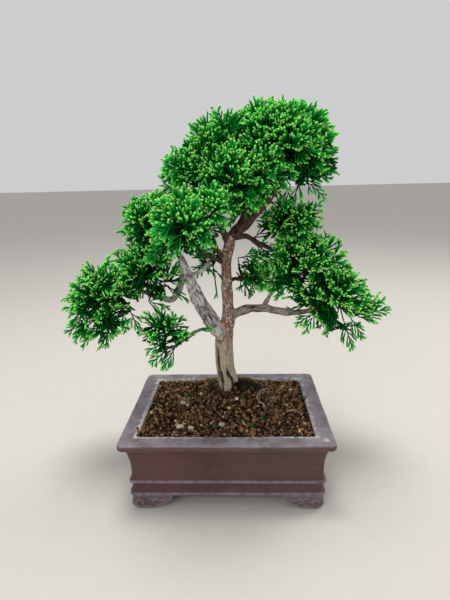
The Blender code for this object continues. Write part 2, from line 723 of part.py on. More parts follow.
def main():
    clear_scene()
    stoneware = material("stoneware", (0.092, 0.046, 0.047), 0.62)
    plastic = material("screen_plastic", (0.02, 0.02, 0.02), 0.5)
    wire = material("aluminium_wire", (0.45, 0.32, 0.25), 0.4, 1.0)
    bark = material("bark", (0.23, 0.16, 0.12), 0.85)
    leaves = material("scale_leaves", (0.03, 0.17, 0.03), 0.6)
    granules = material("soil_granules", (0.075, 0.04, 0.025), 0.95)
    pebble_look = material("pebble", (0.32, 0.28, 0.22), 0.8)
    moss_look = material("moss", (0.05, 0.07, 0.02), 0.95)
    dry = material("dry_leaf", (0.2, 0.14, 0.07), 0.8)
    pale_root = material("pale_root", (0.5, 0.42, 0.34), 0.8)

    make_pot(stoneware)
    in_soil = []
    for side, x in (("left", -DRAIN_SPACING / 2), ("right", DRAIN_SPACING / 2)):
        in_soil.append(make_screen("drain_screen_" + side, x, plastic))
        in_soil.append(make_wire("screen_wire_" + side, x, wire))

    trunk = make_trunk(bark)
    stem_clearances = make_stems(bark, trunk)
    make_foliage(leaves, stem_clearances)

    for name, x, y, size in PEBBLES:
        in_soil.append(make_pebble(name, x * OPENING_X, y * OPENING_Y, size, pebble_look))
    moss = [
        make_moss("moss_left", TRUNK_FOOT.x - 17 * MM, TRUNK_FOOT.y + 2 * MM, 9 * MM, moss_look),
        make_moss("moss_right", TRUNK_FOOT.x + 21 * MM, TRUNK_FOOT.y + 4 * MM, 12 * MM, moss_look),
    ]
    in_soil.append(make_leaf(dry))
    in_soil.append(make_rootlet(pale_root))
    soil_cutters = stem_clearances[:1] + [grown_copy(piece) for piece in in_soil + moss]
    for cushion in moss:
        cut_for(cushion, stem_clearances[:1])

    soil = make_soil(granules)
    cut_for(soil, soil_cutters)


main()
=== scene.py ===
"""Juniper bonsai in a rectangular stoneware pot: its looks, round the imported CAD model.

Shapes are worked out in millimetres and turned into metres where a mesh is made.
"""

import math

import bmesh
import bpy
import numpy as np
from mathutils import Matrix, Vector


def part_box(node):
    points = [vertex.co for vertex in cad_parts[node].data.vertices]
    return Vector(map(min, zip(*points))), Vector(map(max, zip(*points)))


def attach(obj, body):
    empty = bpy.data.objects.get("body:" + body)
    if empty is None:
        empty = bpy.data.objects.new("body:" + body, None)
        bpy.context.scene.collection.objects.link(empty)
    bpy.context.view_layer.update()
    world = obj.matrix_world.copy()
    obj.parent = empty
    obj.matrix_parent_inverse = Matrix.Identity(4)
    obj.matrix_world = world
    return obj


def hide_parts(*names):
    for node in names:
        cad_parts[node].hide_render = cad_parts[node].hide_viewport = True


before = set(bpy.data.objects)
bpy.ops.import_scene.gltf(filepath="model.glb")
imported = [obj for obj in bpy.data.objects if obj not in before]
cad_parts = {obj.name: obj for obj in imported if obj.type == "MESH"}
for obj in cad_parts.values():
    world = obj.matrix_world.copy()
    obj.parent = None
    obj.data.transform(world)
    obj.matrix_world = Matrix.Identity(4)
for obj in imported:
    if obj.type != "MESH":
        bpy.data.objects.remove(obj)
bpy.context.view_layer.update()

MM = 0.001
UP = np.array([0.0, 0.0, 1.0])

# The pot, in mm
RIM = 72.5                      # height of its lip
POT_LENGTH, POT_DEPTH = 201.5, 157.5
LIP_WIDTH, LIP_THICKNESS = 17.0, 6.5
FOOT_HEIGHT = 13.8
FLOOR_TOP = 19.8
DRAIN_X, DRAIN_RADIUS = 42, 7
OPENING_X = POT_LENGTH / 2 - LIP_WIDTH
OPENING_Y = POT_DEPTH / 2 - LIP_WIDTH
TRUNK_FOOT = (0.0, 33.0)

# How finely things are made
WOOD_VOXEL, FOOT_VOXEL = 0.56, 0.58
TWIG_SIDES = 18
CHUNK = 4000        # points of the wood measured at a time
STRIPS = 64         # strips of the foliage's colour map, one of them for each cord
SQUARES = 48        # squares along each side of the granules' colour map
TIP_SPAN = 40.0     # mm of shoot that the foliage map's height stands for
TIP_HEIGHT = 0.985  # height on that map of a cord's tip
COLOUR_MAP = "OFBake"


# Numbers

def lattice(points, seed=0):
    """Smooth noise from -1 to 1 at rows of points."""
    cell = np.floor(points).astype(np.int64)
    part = points - cell
    part = part * part * part * (part * (part * 6 - 15) + 10)
    total = np.zeros(len(points))
    for corner in range(8):
        offset = np.array([corner & 1, corner >> 1 & 1, corner >> 2 & 1])
        spot = cell + offset
        mixed = spot[:, 0] * 73856093 ^ spot[:, 1] * 19349663 ^ spot[:, 2] * 83492791
        mixed = mixed ^ (seed * 2654435761 + 97)
        mixed = (mixed ^ (mixed >> 13)) * 1274126177 & 0x7FFFFFFF
        mixed = mixed ^ (mixed >> 15)
        value = (mixed & 0xFFFF) / 32767.5 - 1
        total += value * np.prod(np.where(offset, part, 1 - part), axis=1)
    return total


def layered(points, seed=0, octaves=3):
    """Smooth noise with finer and finer detail."""
    total = np.zeros(len(points))
    for i in range(octaves):
        total += lattice(points * 2.03 ** i + 11.7 * i, seed + i) / 2 ** i
    return total / 1.75


def unit(rows):
    """Rows as directions of length 1."""
    return rows / np.maximum(np.linalg.norm(rows, axis=-1, keepdims=True), 1e-9)


def blend(low, high, values):
    """Values as shares that rise smoothly from 0 at low to 1 at high."""
    share = np.clip((values - low) / (high - low), 0, 1)
    return share * share * (3 - 2 * share)


def soil_height(x, y):
    """The soil's surface: heaped up to the trunk, lower in front of its pointed root."""
    away2 = ((x - TRUNK_FOOT[0]) ** 2 + (y - TRUNK_FOOT[1]) ** 2) / 33.0 ** 2
    dip = np.exp(-(((x + 5) / 11.0) ** 2 + ((y - 21) / 8.0) ** 2))
    heap = 5.0 * np.exp(-(((x - 10) / 7.0) ** 2 + ((y - 24) / 6.0) ** 2))
    heap += 3.5 * np.exp(-(((x + 15) / 5.0) ** 2 + ((y - 28) / 6.0) ** 2))
    return RIM - 3.0 + 10.5 * np.exp(-away2) - 3.6 * dip + heap


# Meshes

def add_mesh(name, points, faces, look):
    """A piece from points in mm and one or more arrays of faces."""
    groups = [np.asarray(group, np.int32) for group in (faces if isinstance(faces, list) else [faces])]
    groups = [group for group in groups if len(group)]
    mesh = bpy.data.meshes.new(name)
    mesh.vertices.add(len(points))
    mesh.vertices.foreach_set("co", (np.asarray(points, np.float64) * MM).astype(np.float32).ravel())
    corners = np.concatenate([group.ravel() for group in groups])
    sizes = np.concatenate([np.full(len(group), group.shape[1], np.int32) for group in groups])
    mesh.loops.add(len(corners))
    mesh.loops.foreach_set("vertex_index", corners)
    mesh.polygons.add(len(sizes))
    starts = np.concatenate([[0], np.cumsum(sizes)[:-1]]).astype(np.int32)
    mesh.polygons.foreach_set("loop_start", starts)
    mesh.update(calc_edges=True)
    mesh.validate()
    mesh.polygons.foreach_set("use_smooth", np.full(len(mesh.polygons), True))
    made = bpy.data.objects.new(name, mesh)
    bpy.context.scene.collection.objects.link(made)
    if look:
        mesh.materials.append(look)
    return made


def add_values(piece, name, values):
    """Numbers at a piece's points that its material reads."""
    values = np.asarray(values, np.float32)
    if values.ndim == 1:
        piece.data.attributes.new(name, "FLOAT", "POINT").data.foreach_set("value", values)
    else:
        piece.data.attributes.new(name, "FLOAT_VECTOR", "POINT").data.foreach_set("vector", values.ravel())


def add_map(piece, corners):
    """The colour map of a piece: (u, v) at each corner of its faces."""
    layer = piece.data.uv_layers.new(name=COLOUR_MAP)
    layer.data.foreach_set("uv", corners.astype(np.float32).ravel())


def read(items, name, kind, each, width):
    """A property of a mesh's points, edges or corners, in rows of width numbers."""
    flat = np.empty(len(items) * each, kind)
    items.foreach_get(name, flat)
    return flat.reshape(-1, width)


def points_of(mesh):
    return read(mesh.vertices, "co", np.float32, 3, 3).astype(float) / MM


def normals_of(mesh):
    return read(mesh.vertex_normals, "vector", np.float32, 3, 3).astype(float)


def edges_of(mesh):
    return read(mesh.edges, "vertices", np.int32, 2, 2)


def quads_of(mesh):
    return read(mesh.loops, "vertex_index", np.int32, 1, 4)


def set_points(mesh, points):
    mesh.vertices.foreach_set("co", (points * MM).astype(np.float32).ravel())
    mesh.update()


def tube_faces(index):
    """Quads round a tube, from a row of point numbers for each ring."""
    after = np.roll(index, -1, axis=1)
    return np.stack([index[:-1], index[1:], after[1:], after[:-1]], axis=-1).reshape(-1, 4)


def sheet_faces(index):
    """Quads over a grid of point numbers."""
    return np.stack([index[:-1, :-1], index[1:, :-1], index[1:, 1:], index[:-1, 1:]], axis=-1).reshape(-1, 4)


def rim_faces(index):
    """Quads that join a grid's edge to the edge of its copy, which is numbered on from it."""
    edge = np.concatenate([index[:, 0], index[-1, 1:], index[-2::-1, -1], index[0, -2:0:-1]])
    after = np.roll(edge, -1)
    return np.column_stack([edge, edge + index.size, after + index.size, after])


def nearest_row(rows, point):
    """The row nearest to a point."""
    return rows[np.linalg.norm(rows - point, axis=1).argmin()]


def near_mean(points, edges):
    """The mean of each point's neighbours."""
    total = np.zeros_like(points)
    count = np.zeros(len(points))
    np.add.at(total, edges[:, 0], points[edges[:, 1]])
    np.add.at(total, edges[:, 1], points[edges[:, 0]])
    np.add.at(count, edges.ravel(), 1)
    shape = (-1, 1) if points.ndim == 2 else (-1,)
    return total / np.maximum(count, 1).reshape(shape)


def remeshed(source, voxel):
    """One closed skin of quads round everything in source, which is removed."""
    modifier = source.modifiers.new("Skin", "REMESH")
    modifier.mode = "VOXEL"
    modifier.voxel_size = voxel * MM
    bpy.context.view_layer.update()
    graph = bpy.context.evaluated_depsgraph_get()
    mesh = bpy.data.meshes.new_from_object(source.evaluated_get(graph))
    bpy.data.objects.remove(source)
    return mesh


def joined(name, pieces):
    """One piece from several."""
    bpy.ops.object.select_all(action="DESELECT")
    for piece in pieces:
        piece.select_set(True)
    bpy.context.view_layer.objects.active = pieces[0]
    bpy.ops.object.join()
    pieces[0].name = name
    pieces[0].data.name = name
    return pieces[0]


def place(piece, slot, *nodes):
    """Gives a piece its body, and takes away the CAD nodes it stands for. The slot is not used."""
    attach(piece, "root")
    if nodes:
        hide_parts(*nodes)


# Materials

class Nodes:
    """Short names for building a node tree."""

    def __init__(self, name):
        self.look = bpy.data.materials.new(name)
        self.look.use_nodes = True
        self.tree = self.look.node_tree
        self.shader = self.tree.nodes["Principled BSDF"]

    def add(self, kind, **settings):
        node = self.tree.nodes.new("ShaderNode" + kind)
        for key, value in settings.items():
            setattr(node, key, value)
        return node

    def feed(self, socket, value):
        if isinstance(value, bpy.types.NodeSocket):
            self.tree.links.new(value, socket)
        elif isinstance(value, tuple) and len(value) == 3 and socket.type == "RGBA":
            socket.default_value = (*value, 1.0)
        else:
            socket.default_value = value

    def value(self, name):
        return self.add("Attribute", attribute_name=name).outputs["Fac"]

    def vector(self, name):
        return self.add("Attribute", attribute_name=name).outputs["Vector"]

    def place(self):
        return self.add("TexCoord").outputs["Object"]

    def math(self, operation, a, b=0.0):
        node = self.add("Math", operation=operation)
        self.feed(node.inputs[0], a)
        self.feed(node.inputs[1], b)
        return node.outputs[0]

    def ramp(self, value, low, high, to_low=0.0, to_high=1.0):
        """A value's smooth change from to_low at low to to_high at high."""
        node = self.add("MapRange", interpolation_type="SMOOTHSTEP")
        for socket, number in zip(node.inputs, (value, low, high, to_low, to_high)):
            self.feed(socket, number)
        return node.outputs[0]

    def stretch(self, vector, scale):
        node = self.add("Mapping")
        self.feed(node.inputs["Vector"], vector)
        self.feed(node.inputs["Scale"], scale)
        return node.outputs[0]

    def noise(self, vector, scale, detail=4.0, roughness=0.6):
        node = self.add("TexNoise")
        self.feed(node.inputs["Vector"], vector)
        self.feed(node.inputs["Scale"], scale)
        self.feed(node.inputs["Detail"], detail)
        self.feed(node.inputs["Roughness"], roughness)
        return node.outputs["Fac"]

    def cells(self, vector, scale, feature="F1"):
        node = self.add("TexVoronoi", feature=feature)
        self.feed(node.inputs["Vector"], vector)
        self.feed(node.inputs["Scale"], scale)
        return node.outputs["Distance"]

    def mix(self, share, first, second, kind="MIX"):
        node = self.add("Mix", data_type="RGBA", blend_type=kind)
        self.feed(node.inputs["Factor"], share)
        self.feed(node.inputs[6], first)
        self.feed(node.inputs[7], second)
        return node.outputs[2]

    def colours(self, value, *stops):
        """Colours along a value; each stop is a place and its colour."""
        node = self.add("ValToRGB")
        ramp = node.color_ramp
        while len(ramp.elements) < len(stops):
            ramp.elements.new(0.5)
        for element, (at, colour) in zip(ramp.elements, stops):
            element.position = at
            element.color = (*colour, 1.0)
        self.feed(node.inputs[0], value)
        return node.outputs[0]

    def bump(self, height, strength, distance):
        node = self.add("Bump")
        self.feed(node.inputs["Height"], height)
        self.feed(node.inputs["Strength"], strength)
        self.feed(node.inputs["Distance"], distance * MM)
        return node.outputs[0]

    def finish(self, colour, roughness, normal, **others):
        """Feeds the shader and gives back the finished material."""
        self.feed(self.shader.inputs["Base Color"], colour)
        self.feed(self.shader.inputs["Roughness"], roughness)
        self.feed(self.shader.inputs["Normal"], normal)
        for key, value in others.items():
            self.feed(self.shader.inputs[key.replace("_", " ")], value)
        return self.look


def stoneware():
    """Unglazed purple-brown clay, rubbed pale along its edges, with lime left round the opening. Its pale
    edge and top colours also paint highlights on the lip's outer edge, the raised bands and the feet's
    carving.
    """
    n = Nodes("stoneware")
    spot = n.place()
    broad = n.noise(spot, 22, 4)
    fine = n.noise(spot, 240, 5, 0.7)
    grit = n.noise(spot, 900, 3, 0.7)
    colour = n.mix(n.ramp(broad, 0.35, 0.66), (0.059, 0.021, 0.018), (0.095, 0.033, 0.035))
    colour = n.mix(n.ramp(n.noise(spot, 9, 2), 0.4, 0.62, 0.0, 0.6), colour, (0.078, 0.044, 0.034))
    colour = n.mix(n.ramp(fine, 0.5, 0.72, 0.0, 0.45), colour, (0.13, 0.07, 0.07))
    colour = n.mix(n.ramp(fine, 0.46, 0.28, 0.0, 0.5), colour, (0.04, 0.018, 0.018))
    # Pale deposit on the lip's top, plus painted highlight on the raised bands and the feet's carving.
    dust_and_highlight_share = n.math("MULTIPLY", n.value("dust_and_highlight"), n.ramp(n.noise(spot, 42, 6, 0.72), 0.36, 0.60, 0.35, 1.0))
    colour = n.mix(dust_and_highlight_share, colour, (0.230, 0.211, 0.242))
    # Wear on the edges, plus painted highlight along the lip's outer edge, the raised bands and the feet's
    # carving.
    worn = n.math("MULTIPLY", n.value("edge"), n.ramp(n.noise(spot, 130, 4, 0.7), 0.32, 0.62))
    colour = n.mix(n.math("MULTIPLY", worn, 0.8), colour, (0.21, 0.18, 0.225))
    crust = n.noise(spot, 170, 6, 0.75)
    lime = n.math("ADD", n.math("MULTIPLY", n.value("lime"), 1.15), n.ramp(crust, 0.3, 0.7, -0.72, 0.30))
    lime = n.math("MULTIPLY", n.ramp(lime, 0.05, 0.85), n.ramp(n.value("lime"), 0.02, 0.3))
    lime = n.math("MAXIMUM", lime, n.value("mark"))
    colour = n.mix(n.math("MULTIPLY", lime, 0.8), colour, (0.5, 0.5, 0.47))
    specks = n.ramp(n.cells(spot, 160), 0.07, 0.03)
    colour = n.mix(n.math("MULTIPLY", specks, n.ramp(fine, 0.5, 0.56, 0.0, 0.5)), colour, (0.33, 0.27, 0.25))
    height = n.math("ADD", n.math("MULTIPLY", fine, 0.6), n.math("MULTIPLY", grit, 0.25))
    height = n.math("ADD", height, n.math("MULTIPLY", lime, 0.35))
    normal = n.bump(height, 0.55, 0.5)
    rough = n.ramp(fine, 0.3, 0.7, 0.5, 0.68)
    rough = n.math("ADD", rough, n.math("MULTIPLY", lime, 0.25))
    return n.finish(colour, rough, normal, Specular_IOR_Level=0.45)


def bark(name, deep, main, light, scratch, speck=0.0, bare=None):
    """Bark or bare wood that runs with the grain; bare are its colours where it was stripped, and deep is the
    dark colour of its pits, and is painted into its cracks, hollows and the seams between its plates as
    shade.
    """
    n = Nodes(name)
    grain = n.vector("grain")
    crack_shade = n.value("crack_shade")
    streak = n.noise(n.stretch(grain, (1.0, 1.0, 0.10)), 1.5, 5, 0.65)
    patch = n.noise(n.stretch(grain, (1.0, 1.0, 0.5)), 0.22, 4, 0.6)
    plates = n.cells(n.stretch(grain, (1.0, 1.0, 0.3)), 0.75, feature="DISTANCE_TO_EDGE")
    colour = n.mix(n.ramp(streak, 0.32, 0.66), main, light)
    colour = n.mix(n.ramp(patch, 0.44, 0.64, 0.0, 0.85), colour, scratch)
    height = n.math("ADD", streak, n.ramp(plates, 0.0, 0.12, -0.4, 0.0))
    if bare:
        bare_deep, bare_main, bare_light = bare
        wood = n.mix(n.ramp(streak, 0.34, 0.62), bare_main, bare_light)
        wood = n.mix(n.ramp(patch, 0.5, 0.75, 0.0, 0.6), wood, bare_deep)
        fibre = n.noise(n.stretch(grain, (1.0, 1.0, 0.04)), 4.0, 3, 0.6)
        wood = n.mix(n.ramp(fibre, 0.5, 0.3, 0.0, 0.55), wood, bare_deep)
        colour = n.mix(n.value("bark"), wood, colour)
    if speck:
        dots = n.ramp(n.cells(n.stretch(grain, (1.0, 1.0, 1.5)), 0.21), 0.38, 0.25)
        pits = n.ramp(n.cells(n.stretch(grain, (1.3, 1.3, 0.8)), 0.24), 0.34, 0.2, 0.0, 0.8)
        colour = n.mix(n.math("MULTIPLY", pits, n.value("bark")), colour, deep)
        mottled_share = n.ramp(streak, 0.40, 0.56, 0.15, 1.0)
        dots = n.math("MULTIPLY", dots, n.math("MULTIPLY", n.value("bark"), mottled_share))
        colour = n.mix(n.math("MULTIPLY", dots, speck), colour, (0.88, 0.81, 0.75))
    # Painted shade: the seams between the plates, and then the cracks and hollows, darken towards deep.
    colour = n.mix(n.ramp(plates, 0.07, 0.0, 0.0, 0.5), colour, deep)
    colour = n.mix(n.ramp(crack_shade, 0.15, 0.8, 0.0, 0.93), colour, deep)
    normal = n.bump(height, 0.75, 0.55)
    return n.finish(colour, n.ramp(streak, 0.3, 0.7, 0.72, 0.9), normal, Specular_IOR_Level=0.12)


def scale_leaves():
    """Cord-like shoots of scale leaves. The map's height runs from bark to the growing tip, and the green
    darkens down it as painted shade inside the pad.
    """
    n = Nodes("scale_leaves")
    split = n.add("SeparateXYZ")
    n.feed(split.inputs[0], n.add("UVMap", uv_map=COLOUR_MAP).outputs[0])
    strips = n.math("MULTIPLY", split.outputs["X"], float(STRIPS))
    chance = n.add("TexWhiteNoise", noise_dimensions="1D")
    n.feed(chance.inputs["W"], n.math("FLOOR", strips))
    luck = chance.outputs["Value"]
    around = n.math("FRACT", strips)
    along = n.math("MULTIPLY", split.outputs["Y"], 30.0)
    chevron = n.math("PINGPONG", n.math("MULTIPLY", around, 4.0), 1.0)
    scale = n.math("FRACT", n.math("ADD", along, n.math("MULTIPLY", chevron, 0.5)))
    # Brown at the bark, then near-black green low down as painted shade deep in the pad, brightening to pale
    # tips: the tips are young growth's own colour, partly a painted highlight.
    colour = n.colours(
        split.outputs["Y"],
        (0.0, (0.060, 0.030, 0.020)), (0.16, (0.045, 0.035, 0.014)), (0.28, (0.002, 0.030, 0.005)),
        (0.60, (0.002, 0.115, 0.014)), (0.84, (0.004, 0.225, 0.028)), (0.91, (0.010, 0.37, 0.040)),
        (0.955, (0.070, 0.56, 0.060)), (0.99, (0.38, 0.88, 0.18)),
    )
    bluish = n.mix(1.0, colour, (0.50, 0.80, 1.10), "MULTIPLY")
    colour = n.mix(n.ramp(luck, 0.0, 1.0, 0.0, 0.45), colour, bluish)
    tip = n.ramp(split.outputs["Y"], 0.93, 0.985)
    cream = n.math("MULTIPLY", tip, n.ramp(luck, 0.76, 0.87, 0.0, 0.75))
    colour = n.mix(cream, colour, (0.58, 0.86, 0.20))
    shade = n.ramp(n.math("FRACT", n.math("MULTIPLY", luck, 7.0)), 0.0, 1.0, 0.55, 1.25)
    tint = n.add("CombineXYZ")
    for axis in range(3):
        n.feed(tint.inputs[axis], shade)
    colour = n.mix(1.0, colour, tint.outputs[0], "MULTIPLY")
    # Painted shade in the creases between the scale leaves.
    edge = n.ramp(scale, 0.0, 0.22, 0.42, 0.0)
    colour = n.mix(edge, colour, n.mix(1.0, colour, (0.35, 0.4, 0.4), "MULTIPLY"))
    rough = n.ramp(scale, 0.0, 1.0, 0.62, 0.46)
    return n.finish(colour, rough, n.bump(scale, 0.5, 0.25), Specular_IOR_Level=0.04)


def crumbs():
    """Baked-clay and bark granules. Each has its own square of the map, so its own colour."""
    n = Nodes("soil_granules")
    spot = n.add("UVMap", uv_map=COLOUR_MAP).outputs[0]
    cell = n.add("VectorMath", operation="FLOOR")
    n.feed(cell.inputs[0], n.stretch(spot, (SQUARES, SQUARES, 1.0)))
    chance = n.add("TexWhiteNoise", noise_dimensions="2D")
    n.feed(chance.inputs["Vector"], cell.outputs[0])
    shade = n.add("SeparateColor")
    n.feed(shade.inputs[0], chance.outputs["Color"])
    # The darkest granule colours are partly painted shade, for the dark gaps among the granules.
    colour = n.colours(
        shade.outputs[0],
        (0.0, (0.012, 0.007, 0.004)), (0.22, (0.048, 0.025, 0.014)), (0.6, (0.135, 0.072, 0.038)),
        (0.86, (0.21, 0.118, 0.062)), (0.96, (0.32, 0.20, 0.105)), (1.0, (0.46, 0.35, 0.20)),
    )
    mottle = n.noise(spot, 420, 4, 0.7)
    lit = n.mix(1.0, colour, (1.9, 1.7, 1.5), "MULTIPLY")
    colour = n.mix(n.ramp(mottle, 0.42, 0.7, 0.0, 0.5), colour, lit)
    colour = n.mix(n.ramp(mottle, 0.46, 0.3, 0.0, 0.6), colour, (0.012, 0.007, 0.005))
    rough = n.ramp(mottle, 0.3, 0.7, 0.95, 0.75)
    return n.finish(colour, rough, n.bump(mottle, 0.8, 0.5), Specular_IOR_Level=0.06)


def mottled(name, dark, main, light, scale=400, rough=0.85, strength=0.6, distance=0.3):
    """A dull, spotted stuff, for stones, moss, humus and dead leaf."""
    n = Nodes(name)
    spot = n.place()
    broad = n.noise(spot, scale * 0.35, 4, 0.6)
    fine = n.noise(spot, scale, 5, 0.7)
    colour = n.mix(n.ramp(broad, 0.38, 0.64), dark, main)
    colour = n.mix(n.ramp(fine, 0.5, 0.72, 0.0, 0.7), colour, light)
    rough_share = n.ramp(fine, 0.3, 0.7, rough, rough - 0.12)
    return n.finish(colour, rough_share, n.bump(fine, strength, distance), Specular_IOR_Level=0.15)


def woven_plastic():
    """Black plastic mesh."""
    n = Nodes("screen_plastic")
    fine = n.noise(n.place(), 700, 3)
    colour = n.mix(fine, (0.012, 0.012, 0.013), (0.035, 0.033, 0.03))
    return n.finish(colour, n.ramp(fine, 0.3, 0.7, 0.35, 0.6), n.bump(fine, 0.3, 0.1))


def dull_wire():
    """Coppered aluminium wire, drawn along its length."""
    n = Nodes("aluminium_wire")
    fine = n.noise(n.stretch(n.place(), (1.0, 6.0, 6.0)), 500, 4)
    colour = n.mix(fine, (0.28, 0.17, 0.11), (0.5, 0.34, 0.25))
    return n.finish(colour, n.ramp(fine, 0.3, 0.7, 0.3, 0.55), n.bump(fine, 0.3, 0.1), Metallic=1.0)


# Pot

def half_round(middle, inset, bulge, height):
    """Outline of a raised band: (inset, z) from its lower edge to its upper one."""
    angles = np.radians(np.linspace(-90, 90, 9))
    return [(inset + bulge * (1 - math.cos(a)), middle + height / 2 * math.sin(a)) for a in angles]


def pot_outline():
    """(inset, z) from the underside's edge up the outside, over the rim and down the inside."""
    lower = FOOT_HEIGHT + 2.4
    upper = lower + 13.1
    cove_foot = upper + 7.7
    lip_foot = RIM - LIP_THICKNESS
    knots = [(14.0, FOOT_HEIGHT), (9.6, FOOT_HEIGHT)]
    knots += half_round(lower, 7.2, 2.2, 4.4)
    knots += [(9.7, lower + 3.2), (9.75, lower + 5), (9.75, lower + 7.5), (9.7, upper - 3.0)]
    knots += half_round(upper, 7.2, 2.2, 4.4)
    knots += [(9.55, upper + 3.3), (9.5, upper + 5.5)]
    for share in np.linspace(0, 1, 16):
        knots.append((9.5 - 5.3 * share ** 2.6, cove_foot + (lip_foot - cove_foot) * share))
    knots += [
        (3.6, lip_foot + 0.05), (2.2, lip_foot + 0.1), (1.1, lip_foot + 0.3), (0.4, lip_foot + 0.8),
        (0.08, lip_foot + 1.7), (0.0, lip_foot + 3.0), (0.1, RIM - 2.0), (0.35, RIM - 1.2),
        (0.8, RIM - 0.55), (1.5, RIM - 0.15), (2.6, RIM),
    ]
    knots += [(inset, RIM) for inset in np.linspace(4, LIP_WIDTH - 2.2, 11)]
    knots += [
        (LIP_WIDTH - 1.2, RIM - 0.1), (LIP_WIDTH - 0.5, RIM - 0.5), (LIP_WIDTH - 0.1, RIM - 1.3),
        (LIP_WIDTH, RIM - 2.5), (LIP_WIDTH, RIM - 5), (LIP_WIDTH, RIM - 9), (LIP_WIDTH, RIM - 20),
        (LIP_WIDTH, FLOOR_TOP),
    ]
    return np.array(knots)


def rounded_places(half_x, half_y, radius, long_steps, short_steps, turn_steps):
    """(x, y, outward x, outward y) round a rectangle with round corners."""
    rows = []
    sides = (((1, -1), short_steps), ((1, 1), long_steps), ((-1, 1), short_steps), ((-1, -1), long_steps))
    for corner, ((sx, sy), steps) in enumerate(sides):
        centre = np.array([sx * (half_x - radius), sy * (half_y - radius)])
        for i in range(turn_steps + 1):
            angle = math.radians(-90 + 90 * corner + 90 * i / turn_steps)
            out = np.array([math.cos(angle), math.sin(angle)])
            rows.append((*(centre + radius * out), *out))
        next_sx, next_sy = sides[(corner + 1) % 4][0]
        start = np.array(rows[-1])
        end_centre = np.array([next_sx * (half_x - radius), next_sy * (half_y - radius)])
        end = np.array([*(end_centre + radius * start[2:]), *start[2:]])
        for i in range(1, steps):
            rows.append(tuple(start + (end - start) * i / steps))
    return np.array(rows)


def make_body(look):
    """The pot's wall and lip, a little uneven as handmade clay is."""
    outline = pot_outline()
    loops = []
    for inset, z in outline:
        radius = max(2.0, 5.5 - 0.15 * inset)
        places = rounded_places(POT_LENGTH / 2 - inset, POT_DEPTH / 2 - inset, radius, 110, 84, 8)
        loops.append(np.column_stack([places[:, :2], np.full(len(places), z), places[:, 2:]]))
    grid = np.array(loops)
    rings, around = grid.shape[:2]
    points = grid[:, :, :3].reshape(-1, 3)
    outward = np.column_stack([grid[:, :, 3:].reshape(-1, 2), np.zeros(rings * around)])
    inset = np.repeat(outline[:, 0], around)
    level = np.repeat(outline[:, 1], around)
    ring = np.repeat(np.arange(rings), around)

    outside = blend(4.0, 1.0, inset) + (inset < 11) * (level < RIM - 2)
    wave = 0.55 * layered(points / 46, 3) + 0.16 * layered(points / 11, 4)
    points += outward * (wave * np.clip(outside, 0, 1))[:, None]
    droop = 0.45 * layered(points[:, :3] / (52, 52, 500), 8) + 0.10 * layered(points / 9, 9)
    points[:, 2] += droop * (level > RIM - 8)
    top = (level > RIM - 0.3) & (inset > 2)
    points[:, 2] -= 0.35 * blend(4, 10, inset) * blend(16, 10, inset) * top
    sharp = np.exp(-((inset - 0.6) / 1.2) ** 2) * (level > RIM - 2.6)
    chips = np.clip(layered(points / 4.2, 12) - 0.42, 0, 1) * sharp
    points -= outward * (2.2 * chips)[:, None]
    points[:, 2] -= 1.6 * chips

    index = np.arange(rings * around).reshape(rings, around)
    after = np.roll(index, -1, axis=1)
    faces = np.stack([index[:-1], after[:-1], after[1:], index[1:]], axis=-1).reshape(-1, 4)
    body = add_mesh("pot_body", points, faces, look)

    on_top = blend(RIM - 1.6, RIM - 0.2, level)
    # Painted highlight on the two raised bands, drawn pale in both the edge and top layers.
    bead_highlight = np.exp(-((inset - 7.2) / 0.8) ** 2) * (level < 34)
    # Pale line along the lip's outer top edge and its lower edge: wear, plus a painted highlight.
    rim_wear_and_highlight = np.exp(-((inset - 0.9) / 0.7) ** 2) * (level > RIM - 2.0)
    rim_wear_and_highlight += 0.55 * np.exp(-((inset - 0.7) / 0.9) ** 2) * (level < RIM - 5) * (level > RIM - 7)
    patchy = 0.55 + 0.45 * layered(points / 25, 15)
    upright = 0.08 * (inset < 1) * (level < RIM - 1.5) * (level > RIM - 6)
    add_values(body, "dust_and_highlight", np.clip(on_top * (0.72 + 0.3 * patchy) + upright + 0.32 * bead_highlight, 0, 1))
    add_values(body, "edge", np.clip(bead_highlight + rim_wear_and_highlight, 0, 1))
    near_opening = blend(10.5, 17.2, inset) * (level > RIM - 3) + 0.8 * (inset > 16.5) * (level > RIM - 9)
    lean = 0.62 + 0.55 * layered(points / 38, 21)
    lean += 0.4 * blend(-10, -80, points[:, 0]) * blend(-20, -60, points[:, 1])
    lean += 0.30 * blend(-70, -84, points[:, 0])
    add_values(body, "lime", np.clip(near_opening * lean * (ring > 20), 0, 1))
    blot = np.hypot((points[:, 0] - 92.5) / 1.0, (points[:, 1] + 68.5) / 1.2)
    blot += 0.9 * layered(points / 3.0, 30)
    add_values(body, "mark", blend(3.1, 1.8, blot) * (level > RIM - 1))
    return body


